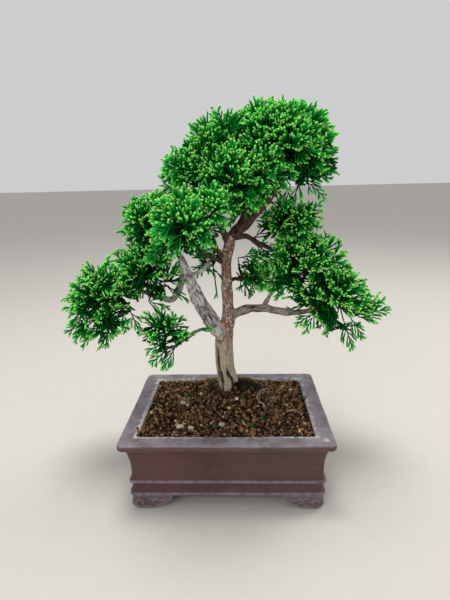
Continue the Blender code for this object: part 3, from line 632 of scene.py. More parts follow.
def make_floor(look):
    """The pot's floor, with its two drainage holes."""
    shape = bmesh.new()
    places = rounded_places(POT_LENGTH / 2 - 12, POT_DEPTH / 2 - 12, 3, 2, 2, 4)
    rows = []
    for z in (FOOT_HEIGHT + 0.02, FLOOR_TOP):
        rows.append([shape.verts.new((x * MM, y * MM, z * MM)) for x, y in places[:, :2]])
    for i in range(len(rows[0])):
        j = (i + 1) % len(rows[0])
        shape.faces.new((rows[0][i], rows[0][j], rows[1][j], rows[1][i]))
    shape.faces.new(reversed(rows[0]))
    shape.faces.new(rows[1])
    mesh = bpy.data.meshes.new("pot_floor")
    shape.to_mesh(mesh)
    shape.free()
    base = bpy.data.objects.new("pot_floor", mesh)
    bpy.context.scene.collection.objects.link(base)
    for x in (-DRAIN_X, DRAIN_X):
        bpy.ops.mesh.primitive_cylinder_add(
            vertices=40, radius=DRAIN_RADIUS * MM, depth=30 * MM, location=(x * MM, 0, 17 * MM))
        drill = bpy.context.object
        cut = base.modifiers.new("Drain", "BOOLEAN")
        cut.operation = "DIFFERENCE"
        cut.solver = "EXACT"
        cut.object = drill
        bpy.context.view_layer.objects.active = base
        bpy.ops.object.modifier_apply(modifier=cut.name)
        bpy.data.objects.remove(drill)
    base.data.materials.clear()
    base.data.materials.append(look)
    for name in ("dust_and_highlight", "edge", "lime", "mark"):
        add_values(base, name, np.zeros(len(base.data.vertices)))
    return base


def foot_edge(share):
    """Height of a scroll foot's lower edge above the ground, at a share of its length."""
    knots = [0, 0.02, 0.05, 0.09, 0.16, 0.40, 0.50, 0.57, 0.64, 0.72, 0.80, 0.88, 0.95, 1.0]
    rises = [9.0, 5.6, 3.0, 1.1, 0.0, 0.0, 0.6, 1.9, 3.0, 3.6, 5.8, 7.2, 9.8, 12.8]
    return np.interp(share, knots, rises)


def scroll(centre, start, turns, size, flip=1):
    """Points of a spiral in a foot's face, from its eye outwards."""
    share = np.linspace(0.12, 1, 26)
    angle = np.radians(start) + flip * 2 * np.pi * turns * share
    return np.array([(centre[0] + size * s * math.cos(a), centre[1] + 0.8 * size * s * math.sin(a))
                     for s, a in zip(share, angle)])


def rod(name, path, radii, sides=10):
    """A round rod with closed ends through points."""
    path = np.asarray(path, float)
    radii = np.broadcast_to(np.asarray(radii, float), (len(path),))
    ahead = unit(np.gradient(path, axis=0))
    side = unit(np.cross(ahead, np.where(np.abs(ahead[:, 2:]) > 0.9, (1.0, 0, 0), (0, 0, 1.0))))
    over = np.cross(side, ahead)
    turn = np.linspace(0, 2 * np.pi, sides, endpoint=False)
    ring = np.cos(turn)[None, :, None] * side[:, None] + np.sin(turn)[None, :, None] * over[:, None]
    points = (path[:, None] + radii[:, None, None] * ring).reshape(-1, 3)
    index = np.arange(len(path) * sides).reshape(len(path), sides)
    first = np.column_stack([np.full(sides, len(points)), index[0], np.roll(index[0], -1)])
    last = np.column_stack([np.full(sides, len(points) + 1), np.roll(index[-1], -1), index[-1]])
    points = np.vstack([points, path[0], path[-1]])
    return add_mesh(name, points, [tube_faces(index), first, last], None)


def foot_wing(length, along_x):
    """One wing of a foot at the corner of +X and +Y, and the rolls carved on its face."""
    shares = np.linspace(0, 1, 44)
    low = foot_edge(shares)
    top = FOOT_HEIGHT + 1.2
    depth = 11.0

    def spot(distance, height, inward):
        if along_x:
            return (POT_LENGTH / 2 - 10.5 - distance, POT_DEPTH / 2 - 8.0 - inward, height)
        return (POT_LENGTH / 2 - 10.0 - inward, POT_DEPTH / 2 - 8.5 - distance, height)

    points = []
    for distance, bottom in zip(shares * length, low):
        points += [spot(distance, bottom, 0), spot(distance, top, 0),
                   spot(distance, top, depth), spot(distance, bottom, depth)]
    index = np.arange(len(points)).reshape(-1, 4)
    faces = np.vstack([tube_faces(index), index[:1], index[-1:, ::-1]])
    pieces = [add_mesh("foot_wing", points, faces, None)]
    rolls = (
        (scroll((0.19 * length, 6.6), 200, 1.2, 6.0), 1.6),
        (scroll((0.56 * length, 8.0), 30, 1.0, 4.4, -1), 1.4),
        (np.column_stack([np.linspace(0.10, 0.52, 12) * length,
                          1.3 + 0.5 * np.sin(np.linspace(0, 3, 12))]), 1.3),
        (np.column_stack([np.linspace(0.55, 0.97, 12) * length,
                          np.interp(np.linspace(0.55, 0.97, 12), shares, low) + 1.3]), 1.3),
        (np.column_stack([np.linspace(0.34, 0.95, 14) * length,
                          12.2 - 3.2 * np.sin(np.linspace(0.2, 3.0, 14))]), 1.1),
    )
    for line, size in rolls:
        path = np.array([spot(distance, height, 0.15) for distance, height in line])
        path[:, 2] = np.minimum(path[:, 2], FOOT_HEIGHT - 0.2)
        taper = size * (0.55 + 0.45 * np.sin(np.linspace(0.35, 2.8, len(path))))
        pieces.append(rod("roll", path, taper))
    return pieces


def make_feet(look):
    """Four carved cloud-scroll feet, rounded as wet clay leaves them."""
    feet = []
    solid = joined("foot", foot_wing(38.5, True) + foot_wing(30.0, False))
    mesh = remeshed(solid, FOOT_VOXEL)
    points = points_of(mesh)
    edges = edges_of(mesh)
    for _ in range(2):
        points += 0.5 * (near_mean(points, edges) - points)
    wide = points.copy()
    for _ in range(14):
        wide += 0.6 * (near_mean(wide, edges) - wide)
    set_points(mesh, points)
    normals = normals_of(mesh)
    proud = np.einsum("ij,ij->i", points - wide, normals)
    points += normals * (0.10 * layered(points / 2.2, 50))[:, None]
    points[:, 2] = np.maximum(points[:, 2], 0.0)
    faces = quads_of(mesh)
    bpy.data.meshes.remove(mesh)
    for sx in (-1, 1):
        for sy in (-1, 1):
            turned = faces if sx * sy > 0 else faces[:, ::-1]
            foot = add_mesh("foot", points * (sx, sy, 1), turned, look)
            # Painted highlight: the raised carving is drawn pale through the edge and top layers.
            shine = blend(0.0, 0.34, proud + 0.10 * layered(points / 5 + 7 * sx + 3 * sy, 51))
            add_values(foot, "edge", 0.15 + 0.85 * shine)
            add_values(foot, "dust_and_highlight", 0.22 + 0.42 * shine)
            for name in ("lime", "mark"):
                add_values(foot, name, np.zeros(len(points)))
            feet.append(foot)
    return feet


# Stems

TRUNK = (
    (0, 34, -10, 1.18), (0, 34, 2, 1.2), (-1, 33, 14, 1.1), (-4, 32, 30, 1.0), (-4, 32, 50, 0.98),
    (-3, 31, 66, 0.96), (0, 30, 78, 0.78), (2, 29, 91, 0.68), (2, 28, 105, 0.60), (1, 27, 120, 0.57),
    (1, 26, 136, 0.56), (1, 26, 153, 0.56), (4, 25, 166, 0.58), (6, 24, 175, 0.56), (8, 24, 180, 0.42),
)
# Name, radius at the fork, slot, and route: x, y, z above the rim and share of the radius
LIMBS = (
    ("crown_branch", 5.4, "dark_bark", (
        (6, 24, 175, 0.9), (12, 23, 182, 1.0), (20, 21, 188, 1.0), (28, 20, 197, 0.95),
        (36, 18, 205, 0.92), (48, 16, 220, 0.8), (59, 12, 234, 0.62), (66, 13, 243, 0.45),
        (74, 16, 252, 0.3))),
    ("left_limb", 8.0, "silver_bark", (
        (-1, 31, 66, 0.8), (-10, 28, 74, 1.0), (-17, 24, 87, 1.03), (-24, 22, 99, 1.03),
        (-29, 20, 112, 0.90), (-34, 18, 123, 0.78), (-36.5, 17, 134, 0.60), (-41, 15, 147, 0.50),
        (-45, 15, 158, 0.42), (-52, 18, 170, 0.3), (-62, 23, 180, 0.22))),
    ("right_low_limb", 4.8, "grey_bark", (
        (2, 29, 86, 0.9), (11, 27, 94, 1.0), (19, 25, 98, 0.98), (28, 23, 100, 0.9),
        (38, 21, 101, 0.88), (48, 19, 100, 0.82), (58, 17, 98, 0.74), (70, 15, 97, 0.62),
        (84, 14, 99, 0.5), (98, 18, 106, 0.4), (112, 22, 112, 0.3))),
)
TWIGS = (
    ("left_crown_branch", 2.1, "dark_bark", (
        (4, 25, 168, 1.6), (1, 22, 176, 1.6), (-2, 18, 184, 1.5), (-5, 12, 192, 1.3),
        (-8, 8, 202, 1.2), (-12, 11, 216, 1.0), (-16, 16, 232, 0.8))),
    ("crown_front_twig", 2.1, "dark_bark", (
        (22, 21, 190, 1.2), (21, 12, 198, 1.1), (18, 2, 208, 1.0), (14, -8, 218, 0.7))),
    ("rear_crown_branch", 2.1, "dark_bark", (
        (5, 25, 172, 1.4), (9, 38, 178, 1.4), (17, 51, 190, 1.2), (25, 64, 206, 0.9))),
    ("right_upper_branch", 2.1, "dark_bark", (
        (7, 24, 174, 1.1), (20, 27, 176, 1.3), (27, 30, 173, 1.2), (34, 33, 168, 1.2),
        (42, 36, 164, 1.0), (51, 40, 160, 1.0), (62, 44, 159, 0.9), (74, 45, 166, 0.8),
        (80, 44, 180, 0.6))),
    ("front_twig_upper", 1.5, "dark_bark", (
        (1, 26, 154, 1.2), (-7, 18, 161, 1.2), (-12, 8, 169, 1.0), (-17, -4, 179, 0.9),
        (-19, -18, 188, 0.8), (-22, -34, 196, 0.6))),
    ("front_twig_lower", 1.5, "dark_bark", (
        (0, 26, 148, 1.1), (-11, 18, 155, 1.1), (-18, 8, 161, 1.0), (-25, -4, 168, 0.9),
        (-33, -22, 176, 0.7), (-38, -36, 184, 0.5))),
    ("rear_twig", 2.1, "dark_bark", (
        (1, 27, 126, 1.1), (8, 42, 128, 1.0), (18, 58, 125, 0.8), (30, 72, 124, 0.6))),
    ("left_rear_limb", 2.1, "silver_bark", (
        (-39, 17, 138, 1.5), (-44, 29, 136, 1.75), (-49, 38, 125, 1.8), (-55, 43, 112, 1.75),
        (-62, 42, 106, 1.6), (-76, 34, 112, 1.3), (-92, 24, 120, 1.0), (-116, 15, 118, 0.7))),
    ("left_side_twig", 2.1, "silver_bark", (
        (-37, 17, 137, 1.0), (-29, 19, 140, 1.0), (-23, 22, 143, 1.0), (-18, 28, 148, 0.8),
        (-14, 37, 152, 0.6))),
    ("low_left_twig", 2.1, "grey_bark", (
        (-12, 28, 74, 0.9), (-19, 25, 76, 0.9), (-27, 20, 78, 0.8), (-41, 12, 74, 0.8),
        (-49, 6, 68, 0.75), (-58, 1, 65, 0.65), (-70, -3, 69, 0.45))),
    ("right_rising_twig", 2.1, "grey_bark", (
        (38, 21, 101, 0.95), (43, 21, 109, 1.0), (46, 21, 115, 0.95), (48, 22, 121, 0.9),
        (50, 25, 131, 0.8), (58, 29, 143, 0.5))),
)
# Heading in degrees from +X, reach and drop of each main root
ROOTS = ((250, 26, 16), (200, 42, 24), (320, 40, 22), (20, 46, 26), (120, 18, 28))


def smooth_route(route, radius, step=1.0):
    """Rows of x, y, z and radius, a step apart, along a curve through a route's points."""
    knots = np.array(route, float)
    knots[:, 2] += RIM
    knots[:, 3] *= radius
    padded = np.vstack([2 * knots[0] - knots[1], knots, 2 * knots[-1] - knots[-2]])
    rows = []
    for before, start, end, beyond in zip(padded, padded[1:], padded[2:], padded[3:]):
        count = max(2, int(np.linalg.norm((end - start)[:3]) / step))
        t = np.linspace(0, 1, count, endpoint=False)[:, None]
        rows.append(0.5 * (2 * start + (end - before) * t
                           + (2 * before - 5 * start + 4 * end - beyond) * t ** 2
                           + (3 * start - before - 3 * end + beyond) * t ** 3))
    rows.append(knots[-1:])
    return np.vstack(rows)


def carried_frames(path):
    """A sideways direction at each point of a path that turns as little as it can."""
    ahead = unit(np.gradient(path, axis=0))
    side = np.cross(ahead[0], (0.0, 1.0, 0.0))
    if np.linalg.norm(side) < 0.1:
        side = np.cross(ahead[0], (1.0, 0.0, 0.0))
    sides = []
    for direction in ahead:
        side = side - direction * side.dot(direction)
        side /= np.linalg.norm(side)
        sides.append(side)
    sides = np.array(sides)
    return ahead, sides, np.cross(ahead, sides)


class Route:
    """A stem's centre line, with what places a point on its bark."""

    def __init__(self, rows):
        self.path = rows[:, :3]
        self.radii = rows[:, 3]
        self.ahead, self.side, self.over = carried_frames(self.path)
        steps = np.linalg.norm(np.diff(self.path, axis=0), axis=1)
        self.along = np.concatenate([[0], np.cumsum(steps)])

    def grain(self, points, nearest):
        """(across, over, along) of points on the bark, in mm."""
        away = points - self.path[nearest]
        lift = np.einsum("ij,ij->i", away, self.ahead[nearest])
        a = np.einsum("ij,ij->i", away, self.side[nearest])
        b = np.einsum("ij,ij->i", away, self.over[nearest])
        size = np.maximum(np.hypot(a, b), 1e-6)
        girth = self.radii[nearest]
        return np.column_stack([a / size * girth, b / size * girth, self.along[nearest] + lift])


def bark_relief(kind, points, grain, radius, seed):
    """Height of the bark at points, and how dark its cracks are painted, as painted shade."""
    turn = unit(grain[:, :2])
    along = grain[:, 2]
    flutes = layered(np.column_stack([turn * 1.7, along / 42]), seed, 2)
    ridges = layered(np.column_stack([turn * 3.6, along / 16]), seed + 5, 2)
    fine = layered(np.column_stack([grain[:, :2] * 0.9, along * 0.14]), seed + 9, 2)
    lumps = lattice(points / 7.0, seed + 14)
    if kind == "trunk":
        low = blend(RIM + 80, RIM + 55, points[:, 2])
        height = radius * (0.16 * flutes * low + 0.06 * flutes) + (0.85 * ridges * low + 0.35 * ridges)
        height += 0.32 * fine + 0.6 * lumps * (1 - low)
        cracks = blend(-0.30, -0.62, ridges + 0.4 * fine) * (0.35 + 0.65 * low)
        rise = points[:, 2] - RIM
        offset = points[:, :2] - np.column_stack([np.interp(rise, (0, 30, 66), (0, -4, -3)),
                                                  np.interp(rise, (0, 30, 66), (33, 32, 31))])
        facing = np.arctan2(offset[:, 1], offset[:, 0]) - math.atan2(-0.60, -0.80)
        lean = 0.12 + 0.45 * blend(RIM + 40, RIM + 2, points[:, 2]) + 0.10 * np.sin(points[:, 2] / 7)
        facing = (facing - lean + np.pi) % (2 * np.pi) - np.pi
        split = np.exp(-(facing / 0.17) ** 2) * blend(RIM - 6, RIM + 8, points[:, 2])
        split *= blend(RIM + 60, RIM + 44, points[:, 2])
        height -= 3.2 * split
        ridge = np.exp(-((facing - 0.34) / 0.17) ** 2) * blend(RIM + 42, RIM + 6, points[:, 2])
        height += 1.6 * ridge
        side_split = np.exp(-((facing - 1.12 + 0.1 * np.sin(points[:, 2] / 5)) / 0.15) ** 2)
        side_split *= blend(RIM - 4, RIM + 4, points[:, 2]) * blend(RIM + 38, RIM + 24, points[:, 2])
        height -= 2.4 * side_split
        cracks = np.maximum(cracks, np.maximum(split, side_split))
    elif kind == "silver":
        height = radius * 0.15 * flutes + 0.75 * ridges + 0.28 * fine + 1.25 * lumps * blend(1.6, 5, radius)
        cracks = blend(-0.22, -0.6, ridges + 0.4 * fine) * 0.9
    elif kind == "dark":
        scales = np.abs(lattice(np.column_stack([turn * 2.6, along / 5.0]), seed + 20))
        height = radius * 0.09 * flutes + 0.5 * scales + 0.28 * fine + 0.3 * lumps
        cracks = blend(0.16, 0.02, scales) * 0.85
    else:
        height = radius * 0.10 * flutes + 0.55 * ridges + 0.25 * fine + 0.9 * lumps
        cracks = blend(-0.25, -0.6, ridges + 0.3 * fine) * 0.85
    strength = blend(0.3, 4.0, radius) * 0.75 + 0.25
    return height * strength, cracks


def knots_on(points, spots):
    """Height added by burrs: rows of x, y, z above the rim, size and rise."""
    total = np.zeros(len(points))
    for x, y, z, size, rise in spots:
        away = np.linalg.norm(points - (x, y, z + RIM), axis=1)
        total += rise * np.exp(-(away / size) ** 2)
    return total


# Burrs on the wood: x, y, z above the rim, size and rise
BURRS = (
    (-27, 16, 125, 3.0, 3.6), (-29, 17, 119, 2.2, 1.8), (-41, 13, 126, 2.8, 2.4),
    (-35, 12, 137, 2.2, 1.6), (-14, 18, 83, 2.6, 1.5), (-21, 17, 98, 2.4, 1.3), (-34, 22, 112, 2.4, 1.6),
    (-20, 30, 90, 2.8, 1.6), (-9, 18, 70, 3.0, 1.6), (24, 19, 102, 2.2, 1.2), (31, 19, 97, 2.4, 1.1),
    (52, 15, 100, 2.0, 1.1), (-24, 26, 84, 3.4, 1.5), (-44, 12, 151, 2.2, 1.3), (-10, 20, 74, 5.0, 1.6),
    (-16, 16, 92, 2.6, 0.9), (-31, 12, 106, 2.4, 1.0), (-38, 12, 139, 2.4, 1.0), (12, 22, 96, 3.4, 1.5),
    (10, 33, 92, 3.0, 1.3), (37, 16, 104, 2.4, 1.1), (5, 20, 76, 3.2, 0.8), (11, 28, 84, 3.2, 1.2),
    (8, 18, 178, 3.0, 1.2), (18, 15, 188, 2.6, 1.0), (34, 13, 206, 2.4, 1.2), (-3, 21, 158, 2.2, 0.9),
    (6, 21, 120, 1.8, 0.7), (-4, 22, 108, 1.6, 0.6), (24, 27, 96, 2.2, 0.8),
)


def make_wood(looks):
    """The trunk and limbs as one skin with bark, parted where each begins, by slot."""
    routes = [Route(smooth_route(TRUNK, 10.0))]
    kinds = ["trunk"]
    slots = ["trunk_bark"]
    for _, radius, slot, route in LIMBS:
        routes.append(Route(smooth_route(route, radius)))
        slots.append(slot)
        kinds.append(slot.split("_")[0])
    for turn, reach, drop in ROOTS:
        heading = np.array([math.cos(math.radians(turn)), math.sin(math.radians(turn))])
        rows = []
        for share, size in ((0.0, 5.4), (0.35, 4.5), (0.7, 3.2), (1.0, 1.6)):
            x, y = np.array([0, 34]) + heading * reach * share
            rows.append((x, y, -5 - drop * share ** 1.4, size))
        routes.append(Route(smooth_route(rows, 1.0)))
        kinds.append("trunk")
        slots.append("trunk_bark")
    spur = smooth_route(((-4, 29, 22, 4.6), (-5, 26, 12, 3.8), (-5, 24.5, 4, 2.8), (-5, 24, -6, 1.6)), 1.0)
    heel = smooth_route(((3, 30, 20, 4.2), (6, 29, 10, 3.6), (9, 28.5, 3, 2.6), (12, 28, -5, 1.4)), 1.0)
    routes += [Route(spur), Route(heel)]
    kinds += ["trunk"] * 2
    slots += ["trunk_bark"] * 2

    rods = [rod("stem", route.path, route.radii, 20) for route in routes]
    mesh = remeshed(joined("wood", rods), WOOD_VOXEL)
    points = points_of(mesh)
    edges = edges_of(mesh)
    faces = quads_of(mesh)
    bpy.data.meshes.remove(mesh)

    depth = np.empty((len(points), len(routes)))
    nearest = np.empty((len(points), len(routes)), int)
    for start in range(0, len(points), CHUNK):
        some = slice(start, start + CHUNK)
        for i, route in enumerate(routes):
            away = np.linalg.norm(points[some, None] - route.path[None], axis=2) - route.radii[None]
            nearest[some, i] = away.argmin(1)
            depth[some, i] = away.min(1)
    order = np.sort(depth, axis=1)
    fork = blend(4.5, 0.8, order[:, 1])
    for _ in range(22):
        points += (0.6 * (0.12 + 0.88 * fork))[:, None] * (near_mean(points, edges) - points)
    owner = depth.argmin(1)
    for _ in range(2):
        points += 0.4 * (near_mean(points, edges) - points)

    grain = np.zeros_like(points)
    radius = np.zeros(len(points))
    for i, route in enumerate(routes):
        mine = owner == i
        grain[mine] = route.grain(points[mine], nearest[mine, i])
        radius[mine] = route.radii[nearest[mine, i]]
    guide = add_mesh("wood_guide", points, faces, None)
    normals = normals_of(guide.data)
    height = np.zeros(len(points))
    crack_shade = np.zeros(len(points))
    for kind in ("trunk", "silver", "dark", "grey"):
        mine = np.isin(owner, [i for i, k in enumerate(kinds) if k == kind])
        lift, crack = bark_relief(kind, points[mine], grain[mine], radius[mine], 60)
        height[mine] = lift
        crack_shade[mine] = crack
    for _ in range(3):
        height = np.where(fork > 0.2, 0.5 * height + 0.5 * near_mean(height, edges), height)
    # Painted shade in the hollows: the lower the relief, the darker the bark is drawn.
    crack_shade = np.maximum(crack_shade, 0.55 * blend(-0.2, -1.3, height))
    points = points + normals * (height + knots_on(points, BURRS))[:, None]
    set_points(guide.data, points)
    normals = normals_of(guide.data)
    bpy.data.objects.remove(guide)

    bark_share = blend(RIM + 60, RIM + 74, points[:, 2] + 5 * layered(points / 6, 70)
                       + 8 * blend(0, 8, points[:, 0]))
    torn = np.linalg.norm((points - (-8, 20, RIM + 69)) / (6.5, 9, 6.5), axis=1)
    torn += 0.6 * layered(points / 4, 71)
    # Painted shade: a dark ring round the torn patch's edge.
    rim = np.exp(-((torn - 1.15) / 0.16) ** 2)
    rim = rim * blend(RIM + 74, RIM + 66, points[:, 2] + 6 * layered(points / 3, 72))
    crack_shade = np.maximum(crack_shade, 0.75 * rim)
    limb_share = blend(0.75, 1.15, torn)
    bark_share = np.minimum(bark_share, limb_share)
    made = {}
    face_owner = np.array([slots.index(s) for s in slots])[owner[faces[:, 0]]]
    for index, slot in enumerate(slots):
        if slots.index(slot) != index:
            continue
        chosen = faces[face_owner == index]
        used, renumbered = np.unique(chosen, return_inverse=True)
        part = add_mesh("wood_" + slot, points[used], renumbered.reshape(-1, 4), looks[slot])
        add_values(part, "grain", grain[used])
        add_values(part, "crack_shade", crack_shade[used])
        shares = {"trunk_bark": bark_share, "silver_bark": limb_share}.get(slot, np.ones(len(points)))
        add_values(part, "bark", shares[used])
        part.data.normals_split_custom_set_from_vertices(normals[used])
        made[slot] = [part]
    return made


def add_twigs(made, looks):
    """The thin twigs, each a rod with bark, added to what has been made for their slots."""
    for order_number, (name, size, slot, route) in enumerate(TWIGS):
        line = Route(smooth_route(route, size, 0.7))
        twig = rod(name + "_skin", line.path, line.radii, TWIG_SIDES)
        points = points_of(twig.data)
        ring = np.minimum(np.arange(len(points)) // TWIG_SIDES, len(line.path) - 1)
        ring[-2:] = (0, len(line.path) - 1)
        grain = line.grain(points, ring)
        girth = line.radii[ring]
        lift, crack = bark_relief(slot.split("_")[0], points, grain, girth, 80 + 7 * order_number)
        joint = np.exp(-((line.along[ring] % 17.0 - 8.5) / 1.6) ** 2) * 0.35
        collar = 0.9 * np.exp(-line.along[ring] / 4.0)
        normals = normals_of(twig.data)
        points += normals * (0.62 * lift + joint + collar)[:, None]
        set_points(twig.data, points)
        add_values(twig, "grain", grain)
        add_values(twig, "crack_shade", crack)
        add_values(twig, "bark", np.ones(len(points)))
        twig.data.materials.append(looks[slot])
        made[slot].append(twig)


# Foliage

# Lobes of each pad's outline: centre and half sizes, the first lobe's centre being its middle
PADS = {
    "crown_top": ((50, 18, 266, 46, 46, 39), (16, 18, 264, 30, 42, 34), (74, 20, 272, 22, 34, 25)),
    "crown_left": ((-8, 18, 244, 33, 44, 40), (-32, 20, 240, 24, 36, 24), (-40, 22, 226, 17, 32, 18)),
    "crown_front": ((10, -8, 226, 30, 28, 24), (34, -2, 238, 24, 24, 16)),
    "crown_right": ((80, 20, 252, 24, 36, 30), (86, 22, 232, 18, 28, 17)),
    "crown_rear": ((14, 66, 230, 42, 26, 38),),
    "front": ((-30, -50, 198, 27, 42, 24), (-9, -42, 211, 18, 30, 17), (-50, -40, 180, 16, 26, 22)),
    "left_middle": ((-74, 26, 190, 28, 36, 34), (-52, 24, 186, 18, 30, 28)),
    "left_inner": ((-84, 24, 136, 34, 36, 32), (-60, 22, 128, 18, 28, 24)),
    "left_outer": ((-130, 14, 112, 34, 32, 36), (-124, 16, 134, 28, 28, 28),
                   (-150, 14, 88, 22.5, 22, 20), (-122, 12, 86, 22, 22, 24)),
    "low_left": ((-62, 0, 86, 23, 22, 20), (-74, -4, 64, 12, 16, 24), (-46, 3, 94, 16, 18, 22)),
    "right_upper": ((70, 42, 186, 30, 30, 24), (84, 42, 196, 17, 22, 18)),
    "right_inner": ((82, 34, 140, 44, 42, 38),),
    "right_outer": ((108, 24, 110, 40, 38, 36), (142, 30, 97, 30.5, 24, 15), (128, 20, 80, 20, 22, 27)),
    "rear_low": ((34, 74, 124, 21, 18, 20),),
    "inner_left": ((-12, 42, 154, 16, 15, 15),),
}
# Where each pad's twigs leave its stem
ANCHORS = {
    "crown_top": ((48, 16, 220), (59, 12, 234), (66, 13, 243), (36, 18, 205)),
    "crown_left": ((-12, 11, 216), (-16, 16, 232), (-8, 8, 202)),
    "crown_front": ((18, 2, 208), (14, -8, 218)),
    "crown_right": ((66, 13, 243), (74, 16, 252), (59, 12, 234)),
    "crown_rear": ((17, 51, 190), (25, 64, 206)),
    "front": ((-19, -18, 188), (-22, -34, 196), (-33, -22, 176), (-38, -36, 184)),
    "left_middle": ((-52, 18, 170), (-62, 23, 180)),
    "left_inner": ((-62, 42, 106), (-76, 34, 112), (-92, 24, 120)),
    "left_outer": ((-92, 24, 120), (-116, 15, 118)),
    "low_left": ((-49, 6, 68), (-58, 1, 65), (-70, -3, 69)),
    "right_upper": ((62, 44, 159), (74, 45, 166), (80, 44, 180)),
    "right_inner": ((58, 29, 143), (62, 44, 159), (50, 25, 131)),
    "right_outer": ((84, 14, 99), (98, 18, 106), (112, 22, 112)),
    "rear_low": ((18, 58, 125), (30, 72, 124)),
    "inner_left": ((-18, 28, 148), (-14, 37, 152)),
}
# How closely clumps sit on a pad, where it isn't 0.9
LEAFY = {"rear_low": 0.42, "inner_left": 0.4, "crown_rear": 0.8, "left_inner": 0.75, "low_left": 0.6,
         "right_inner": 0.75, "right_upper": 0.75, "crown_top": 1.05, "crown_left": 1.05, "crown_front": 1.15,
         "left_outer": 0.8, "right_outer": 0.8}


def pad_surface(lobes, directions):
    """Distance out to a pad's surface and the direction it faces there."""
    middle = np.array(lobes[0][:3], float)
    best = np.zeros(len(directions))
    facing = np.zeros_like(directions)
    for lobe in lobes:
        size = np.array(lobe[3:], float)
        start = (middle - lobe[:3]) / size
        step = directions / size
        a = (step * step).sum(1)
        b = step @ start
        inside = b * b - a * (start @ start - 1)
        reach = np.where(inside > 0, (np.sqrt(np.maximum(inside, 0)) - b) / a, 0)
        hit = middle + directions * reach[:, None]
        better = reach > best
        facing[better] = unit((hit - lobe[:3]) / size ** 2)[better]
        best = np.maximum(best, reach)
    return best, facing


def depth_in(lobes, points):
    """How deep points lie in a pad: 1 at a lobe's middle, 0 at its surface, negative outside."""
    return np.max([1 - np.linalg.norm((points - lobe[:3]) / np.array(lobe[3:], float), axis=1)
                   for lobe in lobes], axis=0)


def even_directions(count, rng):
    """Directions spread evenly over a sphere, each a little off its place."""
    turn = np.arange(count) * math.pi * (3 - math.sqrt(5)) + rng.uniform(0, 6.28)
    z = 1 - 2 * (np.arange(count) + 0.5) / count
    flat = np.sqrt(1 - z * z)
    rows = np.column_stack([flat * np.cos(turn), flat * np.sin(turn), z])
    return unit(rows + rng.normal(0, 0.5 * math.sqrt(4 / count), rows.shape))


class Shoots:
    """Gathers cords, each of the same number of points, and makes them into one mesh."""

    def __init__(self, knots=5, shift=0.0, sides=5):
        self.knots = knots
        self.shift = shift
        self.sides = sides
        self.paths = []
        self.radii = []
        self.heights = []

    def add(self, path, radii, heights):
        self.paths.append(path)
        self.radii.append(radii)
        self.heights.append(np.maximum(heights - self.shift, 0.02))

    def arrays(self, rng):
        """Points, quads, tip triangles and the map's corners for all the cords."""
        paths = np.array(self.paths)
        radii = np.array(self.radii)
        heights = np.array(self.heights)
        count, knots, sides = len(paths), self.knots, self.sides
        ahead = unit(np.gradient(paths, axis=1))
        helper = unit(rng.normal(size=(count, 1, 3)))
        side = unit(np.cross(ahead, helper))
        over = np.cross(side, ahead)
        turn = np.linspace(0, 2 * np.pi, sides, endpoint=False)
        ring = (np.cos(turn)[:, None] * side[:, :, None] + np.sin(turn)[:, None] * over[:, :, None])
        body = paths[:, :, None] + radii[:, :, None, None] * ring
        tips = paths[:, -1] + ahead[:, -1] * radii[:, -1:] * 0.75
        points = np.concatenate([body.reshape(count, -1, 3), tips[:, None]], axis=1).reshape(-1, 3)
        base = (np.arange(count) * (knots * sides + 1))[:, None, None]
        index = base + np.arange(knots * sides).reshape(knots, sides)
        after = np.roll(index, -1, axis=2)
        quads = np.stack([index[:, :-1], index[:, 1:], after[:, 1:], after[:, :-1]], axis=-1).reshape(-1, 4)
        tip = np.broadcast_to(base[:, 0] + knots * sides, (count, sides))
        ends = np.stack([index[:, -1], tip, after[:, -1]], axis=-1).reshape(-1, 3)

        strip = rng.integers(0, STRIPS, count)
        near = 0.04 + 0.92 * np.arange(sides) / sides
        far = 0.04 + 0.92 * (np.arange(sides) + 1) / sides
        u_near = (strip[:, None] + near) / STRIPS
        u_far = (strip[:, None] + far) / STRIPS
        shape = (count, knots - 1, sides)
        u0 = np.broadcast_to(u_near[:, None], shape)
        u1 = np.broadcast_to(u_far[:, None], shape)
        v0 = np.broadcast_to(heights[:, :-1, None], shape)
        v1 = np.broadcast_to(heights[:, 1:, None], shape)
        quad_map = np.stack([u0, v0, u0, v1, u1, v1, u1, v0], axis=-1).reshape(-1, 2)
        end_v = np.broadcast_to(heights[:, -1:], (count, sides))
        peak = np.minimum(end_v + 0.012, 0.999)
        end_map = np.stack([u_near, end_v, (u_near + u_far) / 2, peak, u_far, end_v], axis=-1).reshape(-1, 2)
        return points, quads, ends, quad_map, end_map


def shoot_mesh(name, groups, look, rng):
    """One mesh of all the cords in groups, with its colour map."""
    points, quads, ends, quad_maps, end_maps = [], [], [], [], []
    total = 0
    for group in groups:
        if not group.paths:
            continue
        p, q, e, qm, em = group.arrays(rng)
        points.append(p)
        quads.append(q + total)
        ends.append(e + total)
        quad_maps.append(qm)
        end_maps.append(em)
        total += len(p)
    piece = add_mesh(name, np.vstack(points), [np.vstack(quads), np.vstack(ends)], look)
    add_map(piece, np.vstack(quad_maps + end_maps))
    return piece


def curved(start, direction, length, bend, knots):
    """Points of a shoot that sets out along direction and turns by bend over its length."""
    t = np.linspace(0, 1, knots)[:, None]
    return start + (direction * t + bend * (t * t * 0.5)) * length


# Radius in mm along a cord, and along one that forks from it
CORD = np.array([0.60, 0.64, 0.68, 0.86, 0.82])
STUB = np.array([0.64, 0.94, 0.84])


